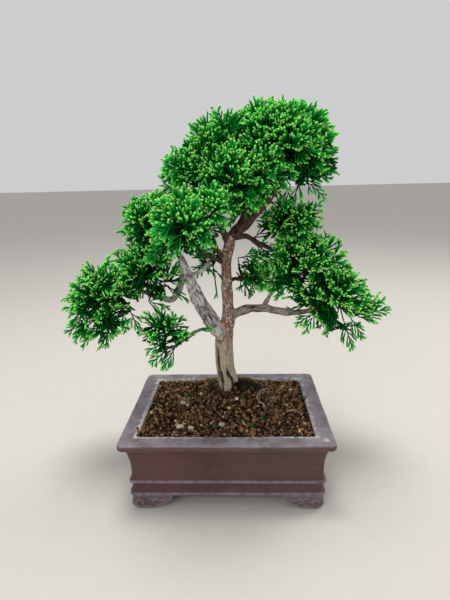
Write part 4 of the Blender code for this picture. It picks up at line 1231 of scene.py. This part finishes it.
def add_cord(kit, start, direction, bend, length, girth, forks, rng):
    """A cord of scale leaves, and the short ones that fork from it."""
    shoots, stubs, _ = kit
    path = curved(start, direction, length, bend, len(CORD))
    reach = length * (1 - np.linspace(0, 1, len(CORD)))
    shoots.add(path, CORD * girth * rng.uniform(0.92, 1.1), TIP_HEIGHT - reach / TIP_SPAN)
    line = curved(start, direction, length, bend, 21)
    first = rng.integers(0, 2)
    plane = unit(np.cross(direction, rng.normal(size=3)))
    for k in range(forks):
        at = int(20 * min(0.9, 0.36 + 0.42 * (k + rng.uniform(-0.2, 0.2)) / max(forks, 1)))
        here = unit(line[min(at + 1, 20)] - line[at - 1])
        out = plane * (1 if (k + first) % 2 else -1) + rng.normal(size=3) * 0.25
        way = unit(here + unit(out) * rng.uniform(0.40, 0.65))
        size = (length * (1 - at / 20) * 0.85 + 1.8) * rng.uniform(0.8, 1.1)
        stub = curved(line[at], way, size, (here - way) * 0.6, len(STUB))
        reach = size * (1 - np.linspace(0, 1, len(STUB)))
        stubs.add(stub, STUB * girth * rng.uniform(0.88, 1.05), TIP_HEIGHT - reach / TIP_SPAN)


def add_tuft(kit, base, ahead, size, girth, rng, sides=5):
    """A bushy shoot: a stem with cords up and round it, whose tips end at one level."""
    bend = unit(rng.normal(size=3)) * 0.22 + UP * 0.12
    add_cord(kit, base, ahead, bend, size, girth, 1, rng)
    side = unit(np.cross(ahead, rng.normal(size=3)))
    over = np.cross(ahead, side)
    line = curved(base, ahead, size, bend, 21)
    first = rng.uniform(0, 6.28)
    for j in range(sides):
        at = 0.12 + 0.40 * j / max(sides - 1, 1)
        turn = first + 2.4 * j + rng.uniform(-0.35, 0.35)
        out = math.cos(turn) * side + math.sin(turn) * over
        way = unit(ahead + out * rng.uniform(0.55, 0.9))
        length = size * (1.0 - at) * rng.uniform(0.7, 1.05)
        add_cord(kit, line[int(20 * at)], way, (ahead - way) * 0.5 + UP * 0.1, length, girth,
                 int(rng.uniform() < 0.75), rng)


def add_fan(kit, base, ahead, flat, size, girth, rng, droop=0.4, sides=7, forks=2):
    """A flat spray with cords left and right, arching over."""
    bend = -UP * droop + unit(rng.normal(size=3)) * 0.10
    add_cord(kit, base, ahead, bend, size, girth, 0, rng)
    line = curved(base, ahead, size, bend, 41)
    hand = rng.integers(0, 2)
    for j in range(sides):
        at = 0.14 + 0.72 * j / max(sides - 1, 1)
        k = int(40 * at)
        here = unit(line[min(k + 1, 40)] - line[k - 1])
        side = unit(np.cross(here, flat)) * (1 if (j + hand) % 2 else -1)
        way = unit(here + side * rng.uniform(0.62, 0.85) + flat * rng.uniform(-0.15, 0.15))
        length = (size * 0.50 * (1 - at) + 3.6) * rng.uniform(0.85, 1.15)
        add_cord(kit, line[k], way, (here - way) * 0.5 - UP * 0.08, length, girth * 0.96,
                 forks if at < 0.65 else 1, rng)


def add_stalk(kit, start, end, thick, thin, low, high):
    """A bare or half-green twig from start to end."""
    gap = end - start
    t = np.linspace(0, 1, 4)[:, None]
    bow = UP * -0.08 * np.linalg.norm(gap) * np.sin(t * np.pi)
    kit[2].add(start + gap * t + bow, np.linspace(thick, thin, 4), np.linspace(low, high, 4))


# Single sprays that hang clear of their pad: foot, tip, droop and how many cords each has
LOOSE = {
    "left_outer": (
        ((-134, 14, 94), (-174, 10, 78), 0.25, 9), ((-138, 16, 116), (-164, 12, 112), 0.2, 6),
        ((-121, 8, 98), (-127, 6, 63), 0.25, 8), ((-108, 6, 102), (-104, 4, 81), 0.2, 6),
        ((-98, 4, 104), (-90, 2, 82), 0.2, 6), ((-131, 10, 86), (-148, 8, 72), 0.3, 7),
        ((-140, 8, 92), (-160, 4, 70), 0.2, 6)),
    "low_left": (
        ((-52, 0, 68), (-66, -6, 42), 0.1, 9), ((-56, 0, 68), (-80, -6, 47), 0.2, 8),
        ((-58, -4, 75), (-82, -6, 62), 0.2, 6), ((-30, 20, 78), (-16, 16, 82), 0.0, 3)),
    "right_outer": (
        ((140, 26, 91), (174, 28, 95), 0.2, 8), ((123, 18, 87), (133, 14, 53), 0.2, 9),
        ((130, 20, 90), (147, 20, 63), 0.25, 8), ((110, 16, 90), (103, 12, 72), 0.2, 6),
        ((88, 10, 96), (72, 4, 86), 0.25, 6), ((92, 10, 98), (80, 2, 78), 0.3, 6)),
    "inner_left": (
        ((-14, 36, 146), (-9, 36, 110), 0.0, 2), ((-22, 34, 148), (-36, 34, 132), 0.1, 5),
        ((-27, 36, 150), (-12, 38, 133), 0.0, 4), ((-18, 34, 150), (-32, 36, 168), 0.0, 6)),
    "crown_right": (
        ((76, 14, 232), (99, 10, 212), 0.25, 8), ((80, 16, 240), (106, 14, 230), 0.2, 7),
        ((65, 14, 226), (58, 12, 200), 0.1, 6), ((74, 14, 229), (66, 12, 207), 0.1, 5)),
    "crown_front": (
        ((12, -10, 234), (0, -14, 202), 0.1, 6), ((16, -8, 232), (12, -12, 200), 0.1, 6),
        ((24, -6, 238), (24, -8, 214), 0.1, 5), ((5, -12, 226), (-7, -16, 206), 0.1, 5),
        ((12, -26, 222), (8, -30, 201), 0.1, 7), ((26, -20, 230), (25, -24, 207), 0.1, 7),
        ((1, -26, 221), (-8, -30, 203), 0.1, 6), ((37, -14, 236), (42, -16, 217), 0.1, 6)),
    "rear_low": (
        ((13, 60, 141), (40, 62, 131), 0.0, 8), ((13, 60, 137), (41, 62, 110), 0.0, 9),
        ((13, 60, 148), (47, 60, 153), 0.0, 8), ((11, 55, 133), (28, 55, 105), 0.0, 6),
        ((22, 58, 128), (50, 60, 118), 0.0, 7)),
    "right_upper": (
        ((30, 44, 172), (56, 42, 190), 0.0, 7), ((28, 42, 168), (52, 44, 150), 0.1, 7)),
    "front": (
        ((-28, -82, 194), (-40, -85, 174), 0.1, 7), ((-20, -80, 197), (-7, -82, 182), 0.1, 6),
        ((-36, -82, 200), (-54, -80, 190), 0.1, 7), ((-25, -82, 203), (-15, -82, 220), 0.1, 6)),
    "right_inner": (
        ((46, 30, 128), (34, 26, 118), 0.2, 4), ((50, 34, 150), (26, 40, 158), 0.1, 7)),
}
# The rounder, bushier pads, with the share of flat sprays among their shoots; it's 0.9 in the others
FLAT = {"crown_top": 0.25, "crown_left": 0.25, "crown_front": 0.45, "crown_right": 0.5, "crown_rear": 0.4,
        "front": 0.45}
# Pads that grow into each other
CLUSTERS = (("crown_top", "crown_left", "crown_front", "crown_right", "crown_rear"),
            ("left_middle", "left_inner", "left_outer"), ("right_upper", "right_inner", "right_outer"),
            ("crown_left", "front", "left_middle"))
AREA_PER_CLUMP = 450.0      # mm2 of a pad's surface
SPRAY_FACE = np.array([0.15, -1.0, 0.35])   # the way the loose sprays' flat sides face


def add_loose(kit, name, ends, rng):
    """A pad's single sprays, each on a twig from the nearest of ends."""
    for foot, tip, droop, sides in LOOSE.get(name, ()):
        foot, tip = np.array(foot, float), np.array(tip, float)
        gap = tip - foot + UP * droop * 0.5 * np.linalg.norm(tip - foot)
        size = np.linalg.norm(gap)
        ahead = gap / size
        flat = unit(SPRAY_FACE - ahead * SPRAY_FACE.dot(ahead) + rng.normal(size=3) * 0.25)
        add_fan(kit, foot, ahead, flat, size, rng.uniform(0.92, 1.02), rng, droop, sides, 1)
        add_stalk(kit, nearest_row(ends, foot), foot, 0.8, 0.62, 0.05, 0.3)


def make_pad(name, look, number):
    """One pad: clumps of shoots over its surface, and the twigs that carry them."""
    lobes = PADS[name]
    rng = np.random.default_rng(400 + number)
    middle = np.array(lobes[0][:3], float)
    flat_share = FLAT.get(name, 0.9)
    probe, _ = pad_surface(lobes, even_directions(400, np.random.default_rng(1)))
    area = 4 * math.pi * (probe ** 2).mean() * 1.15
    count = int(area / AREA_PER_CLUMP * LEAFY.get(name, 0.9))
    directions = even_directions(count, rng)
    reach, facing = pad_surface(lobes, directions)
    targets = middle + directions * (reach * rng.uniform(0.82, 1.04, count))[:, None]
    buried = np.zeros(count, bool)
    for other, others in PADS.items():
        if other != name:
            depth = depth_in(others, targets)
            buried |= depth > 0.25
            if any(name in cluster and other in cluster for cluster in CLUSTERS):
                lift = 7.0 * blend(-0.42, -0.02, depth) * blend(0.45, 0.1, depth)
                targets = targets + (facing * 0.6 + UP * 0.4) * lift[:, None]
    sparse = rng.uniform(size=count) < np.interp(facing[:, 2], (-0.8, -0.2, 0.4), (0.75, 0.3, 0.06))
    keep = ~(buried | sparse)
    targets, facing = targets[keep], facing[keep]

    anchors = np.array(ANCHORS[name], float)
    # Painted light and shade per pad: the crown pads' cords are moved a little darker down the colour map,
    # the other pads' a little lighter.
    pad_shade_shift = 0.005 if name in FLAT else -0.008
    kit = Shoots(5, pad_shade_shift), Shoots(3, pad_shade_shift), Shoots(4)
    forks = middle + (targets - middle) * 0.35
    forks[:, 2] -= 5
    chosen = rng.choice(len(targets), -(-len(targets) // 4), replace=False)
    forks = forks[chosen] if len(chosen) else anchors
    for fork in forks:
        add_stalk(kit, nearest_row(anchors, fork), fork, 1.35, 0.95, 0.02, 0.06)
    for target, face in zip(targets, facing):
        outward = unit(target - middle)
        level = unit(np.array([outward[0], outward[1], 0.0]) + 1e-6)
        girth = rng.uniform(0.96, 1.12)
        upper = face[2] > 0.0
        size = rng.uniform(18, 27) if upper else rng.uniform(20, 30)
        if upper:
            axis = unit(face * 0.8 + UP * 0.35 + outward * 0.25 + rng.normal(size=3) * 0.2)
        else:
            axis = unit(level * 0.9 + face * 0.35 + UP * 0.02 + rng.normal(size=3) * 0.2)
        hub = target - axis * size * 0.86
        add_stalk(kit, nearest_row(forks, hub), hub, 0.85, 0.66, 0.06, 0.16)
        side = unit(np.cross(axis, rng.normal(size=3)))
        over = np.cross(axis, side)
        if not upper:
            rings = ((1, 0.0), (2, 0.65))
        elif name in FLAT:
            rings = ((1, 0.0), (3, 0.60), (3, 1.12))
        else:
            rings = ((1, 0.0), (3, 0.70), (2, 1.25))
        for amount, tilt in rings:
            start = rng.uniform(0, 6.28)
            for k in range(amount):
                turn = start + 2 * np.pi * k / amount + rng.uniform(-0.3, 0.3)
                lean = tilt + rng.uniform(-0.12, 0.12)
                out = math.cos(turn) * side + math.sin(turn) * over
                ahead = unit(axis * math.cos(lean) + out * math.sin(lean))
                if not upper or ahead[2] < 0.0 or rng.uniform() < flat_share:
                    ahead = unit(ahead + UP * 0.12)
                    flat = unit(np.cross(np.cross(ahead, UP), ahead) + rng.normal(size=3) * 0.55)
                    add_fan(kit, hub + ahead * 1.5, ahead, flat, size * rng.uniform(0.85, 1.2), girth, rng,
                            rng.uniform(-0.1, 0.35), 6 if name in FLAT else 5, int(rng.uniform() < 0.4))
                else:
                    add_tuft(kit, hub + ahead * 1.5, ahead, size * rng.uniform(0.8, 1.12), girth, rng, 4)
    # Painted shade: fans deep inside the pad are moved far down the colour map, so they are drawn darker.
    inner = Shoots(5, 0.34, 3), Shoots(3, 0.34, 3), Shoots(4)
    core = middle + directions * (reach * rng.uniform(0.2, 0.52, count))[:, None]
    for hub in core:
        ahead = unit(unit(hub - middle) + rng.normal(size=3) * 0.5)
        for _ in range(2):
            ahead = unit(ahead + rng.normal(size=3) * 0.6)
            flat = unit(np.cross(ahead, rng.normal(size=3)))
            add_fan(inner, hub, ahead, flat, rng.uniform(15, 21), 1.15, rng, 0.1, 6, 0)
        add_stalk(inner, nearest_row(forks, hub), hub, 0.7, 0.6, 0.05, 0.2)
    add_loose(kit, name, np.vstack([forks, anchors]), rng)
    for group in kit + inner:
        group.paths = [path + (0, 0, RIM) for path in group.paths]
    return shoot_mesh("sprays_" + name, kit + inner, look, rng)


# Soil and what lies on it

LYING = ("pebble_pale_large", "pebble_pale_rear", "pebble_buff", "pebble_grey", "pebble_white",
         "pebble_orange", "pebble_dark", "dry_leaf")
LUMP_KINDS = 24     # different shapes among the granules


def ball(subdivisions):
    """Points and triangles of a sphere of radius 1."""
    shape = bmesh.new()
    bmesh.ops.create_icosphere(shape, subdivisions=subdivisions, radius=1)
    points = np.array([vertex.co for vertex in shape.verts])
    faces = np.array([[vertex.index for vertex in face.verts] for face in shape.faces])
    shape.free()
    return points, faces


def turns(count, rng):
    """Random turns, as an array of 3 by 3 matrices."""
    q = unit(rng.normal(size=(count, 4)))
    w, x, y, z = q.T
    return np.stack([
        1 - 2 * (y * y + z * z), 2 * (x * y - z * w), 2 * (x * z + y * w),
        2 * (x * y + z * w), 1 - 2 * (x * x + z * z), 2 * (y * z - x * w),
        2 * (x * z - y * w), 2 * (y * z + x * w), 1 - 2 * (x * x + y * y),
    ], axis=-1).reshape(count, 3, 3)


def granule_mesh(name, centres, radii, look, rng, fineness):
    """Lumpy grains, each with its own square of the colour map."""
    shape, faces = ball(fineness)
    count = len(centres)
    squash = rng.uniform(0.72, 1.12, (count, 1, 3))
    lump = np.empty((count, len(shape)))
    for i in range(LUMP_KINDS):
        lump[i::LUMP_KINDS] = 1 + 0.20 * lattice(shape * 1.4 + i * 5.3, 200 + i)
    body = shape[None] * squash * lump[:, :, None]
    body = np.einsum("nij,nkj->nki", turns(count, rng), body) * radii[:, None, None] + centres[:, None]
    offset = (np.arange(count) * len(shape))[:, None, None]
    piece = add_mesh(name, body.reshape(-1, 3), (faces[None] + offset).reshape(-1, 3), look)
    cell = rng.integers(0, SQUARES, (count, 2))
    flat = 0.5 + 0.4 * shape[:, :2]
    spots = (cell[:, None] + flat[None]) / SQUARES
    add_map(piece, spots[:, faces.ravel()].reshape(-1, 2))
    return piece


def scattered(step, rng):
    """Jittered places over the opening."""
    xs = np.arange(-OPENING_X + 1.2, OPENING_X - 1.0, step)
    ys = np.arange(-OPENING_Y + 1.2, OPENING_Y - 1.0, step)
    grid = np.array([(x + (0.5 * step if j % 2 else 0), y) for j, y in enumerate(ys) for x in xs])
    grid += rng.uniform(-0.45, 0.45, grid.shape) * step
    edge = np.array([OPENING_X - 1.3, OPENING_Y - 1.3])
    return np.clip(grid, -edge, edge)


def clear_of(spots, margin):
    """Which places are not under a pebble or the dry leaf."""
    free = np.ones(len(spots), bool)
    for name in LYING:
        low, high = (np.array(corner)[:2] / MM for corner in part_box(name))
        middle = (low + high) / 2
        free &= np.linalg.norm((spots - middle) / ((high - low) / 2 + margin), axis=1) > 1
    return free


def make_bed(look):
    """The fine soil between and under the granules."""
    across, deep = 84, 62
    x, y = np.meshgrid(np.linspace(-1, 1, across) * (OPENING_X - 0.1),
                       np.linspace(-1, 1, deep) * (OPENING_Y - 0.1), indexing="ij")
    spots = np.column_stack([x.ravel(), y.ravel()])
    corner = np.array([OPENING_X - 4.1, OPENING_Y - 4.1])
    over = np.maximum(np.abs(spots) - corner, 0)
    excess = np.maximum(np.linalg.norm(over, axis=1) / 4.0, 1.0)
    spots -= np.sign(spots) * over * (1 - 1 / excess)[:, None]
    x, y = spots.T
    rough = 0.7 * layered(np.column_stack([x / 3, y / 3, 0 * x]), 33)
    top = np.column_stack([x, y, soil_height(x, y) - 1.3 + rough])
    bottom = np.column_stack([x, y, np.full(len(x), FLOOR_TOP + 0.2)])
    index = np.arange(len(x)).reshape(across, deep)
    sheet = sheet_faces(index)
    faces = np.vstack([sheet, sheet[:, ::-1] + len(x), rim_faces(index)])
    return add_mesh("soil_bed", np.vstack([top, bottom]), faces, look)


def make_soil(top_look, under_look):
    """Two layers of granules, with crumbs, a heap at the back and some in the front corner."""
    rng = np.random.default_rng(7)
    pieces = []
    for layer, (step, sink, low, high) in enumerate(((3.45, 0.1, 1.25, 2.55), (3.4, 2.3, 1.3, 2.2))):
        spots = scattered(step, rng)
        away = np.hypot(spots[:, 0] + 1, spots[:, 1] - 33)
        spots = spots[(away > 8.5) & (clear_of(spots, 1.0 - layer))]
        radii = rng.uniform(0, 1, len(spots)) ** 1.5 * (high - low) + low
        level = soil_height(spots[:, 0], spots[:, 1])
        uneven = 0.9 * lattice(np.column_stack([spots / 9, np.zeros(len(spots))]), 31)
        z = level + uneven - sink + rng.uniform(-0.7, 0.6, len(spots))
        if layer == 0:
            extra = rng.uniform(-1, 1, (260, 2)) * (OPENING_X - 3, OPENING_Y - 3)
            extra = extra[(np.hypot(extra[:, 0] + 1, extra[:, 1] - 33) > 10) & clear_of(extra, 1.4)]
            small = rng.uniform(0.7, 1.5, len(extra))
            z2 = soil_height(extra[:, 0], extra[:, 1]) + 1.5 + rng.uniform(-0.4, 0.6, len(extra))
            heap = np.column_stack([rng.uniform(-28, 26, 130), rng.uniform(55.5, 64.5, 130)])
            heap_r = rng.uniform(0.9, 1.7, 130)
            heap_z = RIM + 0.4 + 1.5 * np.exp(-((heap[:, 1] - 57) / 4.5) ** 2) * rng.uniform(0.2, 1.5, 130)
            corner = np.column_stack([rng.normal(-82.5, 2.2, 26), rng.normal(-54, 3.0, 26)])
            corner_r = rng.uniform(0.9, 1.8, 26)
            corner_z = RIM + rng.uniform(0.0, 1.6, 26)
            spots = np.vstack([spots, extra, heap, corner])
            radii = np.concatenate([radii, small, heap_r, corner_r])
            z = np.concatenate([z, z2, heap_z, corner_z])
        centres = np.column_stack([spots, z])
        half = centres[:, 0] < 0
        level_name, look = (("top", top_look), ("under", under_look))[layer]
        for side, mine in (("left", half), ("right", ~half)):
            pieces.append(granule_mesh(f"granules_{level_name}_{side}", centres[mine], radii[mine],
                                       look, rng, 2 - layer))
    return pieces


def stone(name, look, seed):
    """A worn stone in the place of the CAD one."""
    low, high = (np.array(corner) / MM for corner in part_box(name))
    shape, faces = ball(5)
    lump = 1 + 0.10 * layered(shape * 1.5, seed) + 0.035 * layered(shape * 5, seed + 3)
    tilt = shape @ unit(np.array([0.3, 0.5, 0.8]))
    facet = np.where(tilt > 0.78, np.clip(tilt, -1, 0.78) / np.maximum(tilt, 1e-3), 1.0)
    points = shape * (lump * facet)[:, None] * (high - low) / 2 + (low + high) / 2
    return add_mesh("stone_" + name, points, faces, look)


def fuzz(name, spots, look, rng, length, girth, count, lift=0.0):
    """Small upright threads of moss or fibre, round given places."""
    shoots = Shoots(4)
    for x, y, spread in spots:
        for _ in range(count):
            px, py = rng.normal((x, y), spread)
            base = np.array([px, py, soil_height(px, py) + lift])
            way = unit(UP * rng.uniform(0.2, 1.0) + rng.normal(size=3) * 0.6)
            size = length * rng.uniform(0.6, 1.3)
            path = curved(base, way, size, rng.normal(size=3) * 0.4, 4)
            shoots.add(path, girth * np.array([1.0, 0.95, 0.8, 0.5]), np.linspace(0.2, 0.8, 4))
    return shoot_mesh(name, [shoots], look, rng)


def make_leaf(look):
    """A dry, cupped leaf with its midrib and veins raised, torn a little at its edge."""
    low, high = (np.array(corner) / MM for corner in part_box("dry_leaf"))
    u, v = np.meshgrid(np.linspace(0, 1, 60), np.linspace(-1, 1, 41), indexing="ij")
    half = np.maximum(0.05, np.sin(np.pi * u ** 0.8)) * (high - low)[1] / 2
    along = np.column_stack([u.ravel() * 9, np.sign(v.ravel()) * 3, 0 * u.ravel()])
    tear = 1 - 0.10 * np.abs(lattice(along, 5)).reshape(u.shape)
    x = low[0] + u * (high - low)[0]
    y = (low + high)[1] / 2 + v * half * tear + 0.5 * np.sin(u * 3)
    rise = 0.9 * np.abs(v) ** 1.5 * np.sin(np.pi * u) + 1.6 * u * u + 0.35 * np.exp(-(v / 0.07) ** 2)
    rise += 0.12 * np.sin((u * 9 - np.abs(v) * 2.2) * 2 * np.pi) * np.abs(v)
    rise += 0.5 * lattice(np.column_stack([u.ravel() * 3, v.ravel() * 2, 0 * u.ravel()]), 9).reshape(u.shape)
    z = low[2] + 2.2 + rise
    top = np.stack([x, y, z], axis=-1).reshape(-1, 3)
    under = top - (0, 0, 0.22)
    index = np.arange(u.size).reshape(u.shape)
    sheet = sheet_faces(index)
    faces = np.vstack([sheet, sheet[:, ::-1] + u.size, rim_faces(index)[:, ::-1]])
    return add_mesh("leaf", np.vstack([top, under]), faces, look)


def make_rootlet(look):
    """The pale, hairy rootlet that loops over the soil."""
    rng = np.random.default_rng(12)
    rows = []
    for x, y, lift in ((46, 32, -1.5), (45, 31, 3), (41, 28, 5), (35, 21, 4.5), (32, 12, 2.2),
                       (34, 5, 2.0), (38, 0, 2.2), (39, -6, 1.0), (39, -8, -1.5)):
        rows.append((x, y, soil_height(x, y) + lift - RIM, 0.48))
    line = smooth_route(rows, 1.0, 0.5)
    wobble = np.column_stack([lattice(line[:, :3] / 2.2, 40 + k) for k in range(3)]) * 0.35
    path = line[:, :3] + wobble
    radii = line[:, 3] * (1 + 0.22 * lattice(path * 0.9, 44))
    pieces = [rod("rootlet", path, radii, 10)]
    for _ in range(16):
        start = path[rng.integers(12, len(path) - 6)]
        way = unit(rng.normal(size=3) - UP * 0.6)
        hair = curved(start, way, rng.uniform(3, 7), rng.normal(size=3) * 0.8 - UP * 0.5, 10)
        hair[:, 2] = np.maximum(hair[:, 2], soil_height(hair[:, 0], hair[:, 1]) + 0.4)
        pieces.append(rod("hair", hair, np.linspace(0.2, 0.1, 10), 6))
    root = joined("rootlet", pieces)
    root.data.materials.append(look)
    return root


# The stage

def make_stage():
    """The floor, the sky and three lamps."""
    n = Nodes("paper_floor")
    fine = n.noise(n.place(), 60, 5)
    colour = n.mix(fine, (0.55, 0.52, 0.475), (0.59, 0.56, 0.515))
    look = n.finish(colour, 0.85, n.bump(fine, 0.05, 0.3))
    size = 20000.0
    sweep = add_mesh("floor", [(-size, -size, 0), (size, -size, 0), (size, size, 0), (-size, size, 0)],
                     np.array([[0, 1, 2, 3]]), look)

    world = bpy.data.worlds.new("studio")
    bpy.context.scene.world = world
    world.use_nodes = True
    back = world.node_tree.nodes["Background"]
    back.inputs["Color"].default_value = (0.93, 0.93, 0.95, 1)
    back.inputs["Strength"].default_value = 0.66

    def lamp(name, place, aim, size, power, colour):
        data = bpy.data.lights.new(name, "AREA")
        data.shape = "DISK"
        data.size = size
        data.energy = power
        data.color = colour
        made = bpy.data.objects.new(name, data)
        made.location = place
        made.rotation_euler = (Vector(aim) - Vector(place)).to_track_quat("-Z", "Y").to_euler()
        bpy.context.scene.collection.objects.link(made)

    lamp("overhead", (-0.1, 0.10, 1.5), (0, 0, 0.18), 0.6, 12.5, (1.0, 0.99, 0.97))
    lamp("left_front", (-0.7, -1.3, 0.9), (0, 0, 0.16), 0.9, 7.5, (0.97, 0.98, 1.0))
    lamp("right_back", (1.1, 0.5, 1.0), (0, 0, 0.2), 0.7, 6, (1.0, 0.98, 0.95))


def make_camera():
    """The camera, and how its colours are shown."""
    bpy.context.scene.view_settings.view_transform = "Standard"
    data = bpy.data.cameras.new("camera")
    data.lens = 26.727
    data.sensor_width = 36.0
    data.sensor_fit = "AUTO"
    data.clip_start = 0.01
    made = bpy.data.objects.new("camera", data)
    bpy.context.scene.collection.objects.link(made)
    made.matrix_world = Matrix((
        (0.99925, 0.01402, 0.03608, 0.01585),
        (0.03122, 0.25922, -0.96531, -0.43171),
        (-0.02289, 0.96572, 0.25859, 0.30383),
        (0, 0, 0, 1),
    ))
    bpy.context.scene.camera = made


def main():
    """Makes every piece, gives each its body, and hides the CAD nodes it stands for."""
    clay = stoneware()
    pot = joined("pot_visual", [make_body(clay), make_floor(clay)] + make_feet(clay))
    place(pot, "stoneware", "pot")

    looks = {
        "trunk_bark": bark("trunk_bark", (0.010, 0.006, 0.004), (0.175, 0.058, 0.034), (0.42, 0.25, 0.185),
                           (0.44, 0.36, 0.32), 0.9,
                           ((0.075, 0.05, 0.03), (0.44, 0.335, 0.22), (0.68, 0.58, 0.44))),
        "silver_bark": bark("silver_bark", (0.012, 0.009, 0.010), (0.29, 0.265, 0.27), (0.90, 0.87, 0.84),
                            (0.13, 0.08, 0.088), 0.0,
                            ((0.30, 0.22, 0.15), (0.74, 0.64, 0.48), (0.86, 0.80, 0.68))),
        "dark_bark": bark("dark_bark", (0.010, 0.006, 0.005), (0.085, 0.042, 0.032), (0.17, 0.105, 0.085),
                          (0.115, 0.07, 0.058)),
        "grey_bark": bark("grey_bark", (0.016, 0.010, 0.008), (0.235, 0.175, 0.15), (0.46, 0.39, 0.345),
                          (0.10, 0.062, 0.052)),
    }
    wood = make_wood(looks)
    add_twigs(wood, looks)
    members = {"trunk_bark": ["trunk"]}
    for name, _, slot, _ in LIMBS + TWIGS:
        members.setdefault(slot, []).append(name)
    for slot, parts in wood.items():
        place(joined("wood_" + slot, parts), slot, *members[slot])

    leaves = scale_leaves()
    for number, name in enumerate(PADS):
        place(make_pad(name, leaves, number), "foliage", "foliage_" + name)

    # Painted shade: the lower layer of granules gets a darker look, for the shade in the gaps between the top
    # ones.
    under_shade = mottled("shaded_under_granules", (0.008, 0.005, 0.003), (0.050, 0.028, 0.017), (0.12, 0.070, 0.040), 420)
    for piece in make_soil(crumbs(), under_shade):
        place(piece, "soil")
    # The fine soil under the granules, drawn near-black, partly as painted shade in the gaps.
    earth_and_gap_shade = mottled("soil_bed", (0.006, 0.004, 0.003), (0.018, 0.010, 0.006), (0.05, 0.03, 0.018),
                    500, 0.97, 1.0, 1.0)
    place(make_bed(earth_and_gap_shade), "soil", "soil")

    stones = (
        ("pebble_pale_large", "pebble_pale", ((0.34, 0.28, 0.17), (0.58, 0.51, 0.34), (0.75, 0.69, 0.52))),
        ("pebble_pale_rear", "pebble_pale", ((0.36, 0.31, 0.19), (0.60, 0.55, 0.40), (0.74, 0.70, 0.56))),
        ("pebble_buff", "pebble_pale", ((0.30, 0.25, 0.16), (0.50, 0.44, 0.30), (0.64, 0.58, 0.44))),
        ("pebble_grey", "pebble_grey", ((0.22, 0.18, 0.14), (0.40, 0.34, 0.27), (0.52, 0.46, 0.38))),
        ("pebble_white", "pebble_white", ((0.6, 0.6, 0.58), (0.85, 0.85, 0.83), (0.93, 0.93, 0.9))),
        ("pebble_orange", "pebble_orange", ((0.35, 0.17, 0.05), (0.55, 0.32, 0.12), (0.66, 0.45, 0.22))),
        ("pebble_dark", "pebble_dark", ((0.02, 0.02, 0.018), (0.06, 0.058, 0.05), (0.12, 0.115, 0.1))),
    )
    for number, (node, slot, colours) in enumerate(stones):
        place(stone(node, mottled(node, *colours), 90 + 7 * number), slot, node)

    rng = np.random.default_rng(21)
    humus = mottled("humus", (0.008, 0.006, 0.004), (0.035, 0.024, 0.012), (0.075, 0.06, 0.025), 500)
    moss = mottled("moss", (0.025, 0.055, 0.010), (0.05, 0.15, 0.02), (0.14, 0.32, 0.05), 700)
    left = fuzz("moss_left_tufts", [(-14, 36, 4.0), (-17, 32, 3.5), (-12, 28, 3.0)],
                humus, rng, 3.0, 0.35, 130)
    right = fuzz("moss_right_tufts", [(20, 38, 6.0), (14, 33, 4.0), (28, 36, 5.0), (12, 42, 5.0),
                                      (10, 24, 3.5)], humus, rng, 3.2, 0.36, 170, 0.6)
    place(left, "moss", "moss_left")
    place(right, "moss", "moss_right")
    green = fuzz("moss_green", [(-15, 29, 1.6), (16, 27, 1.4), (24, 30, 1.6), (-18, 38, 2.0), (8, 22, 1.0),
                                (-42, 24, 1.0)], moss, rng, 2.4, 0.3, 46)
    place(green, "moss")
    weeds = fuzz("weeds", [(-61, 40, 0.9), (-72, -5, 1.0), (16, 10, 0.8), (36, -27, 0.9), (83, 13, 1.0),
                           (24, -40, 0.8), (-20, 44, 0.9)], moss, rng, 3.0, 0.5, 12, 1.6)
    place(weeds, "moss")

    place(make_leaf(mottled("dry_leaf", (0.16, 0.10, 0.04), (0.36, 0.25, 0.11), (0.52, 0.40, 0.22), 600)),
          "dry_leaf", "dry_leaf")
    place(make_rootlet(mottled("pale_root", (0.30, 0.23, 0.17), (0.50, 0.43, 0.35), (0.64, 0.58, 0.50), 900)),
          "pale_root", "surface_rootlet")

    plastic, wire = woven_plastic(), dull_wire()
    for side in ("left", "right"):
        for node, look in (("drain_screen_" + side, plastic), ("screen_wire_" + side, wire)):
            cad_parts[node].data.materials.clear()
            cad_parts[node].data.materials.append(look)

    make_stage()
    make_camera()


main()
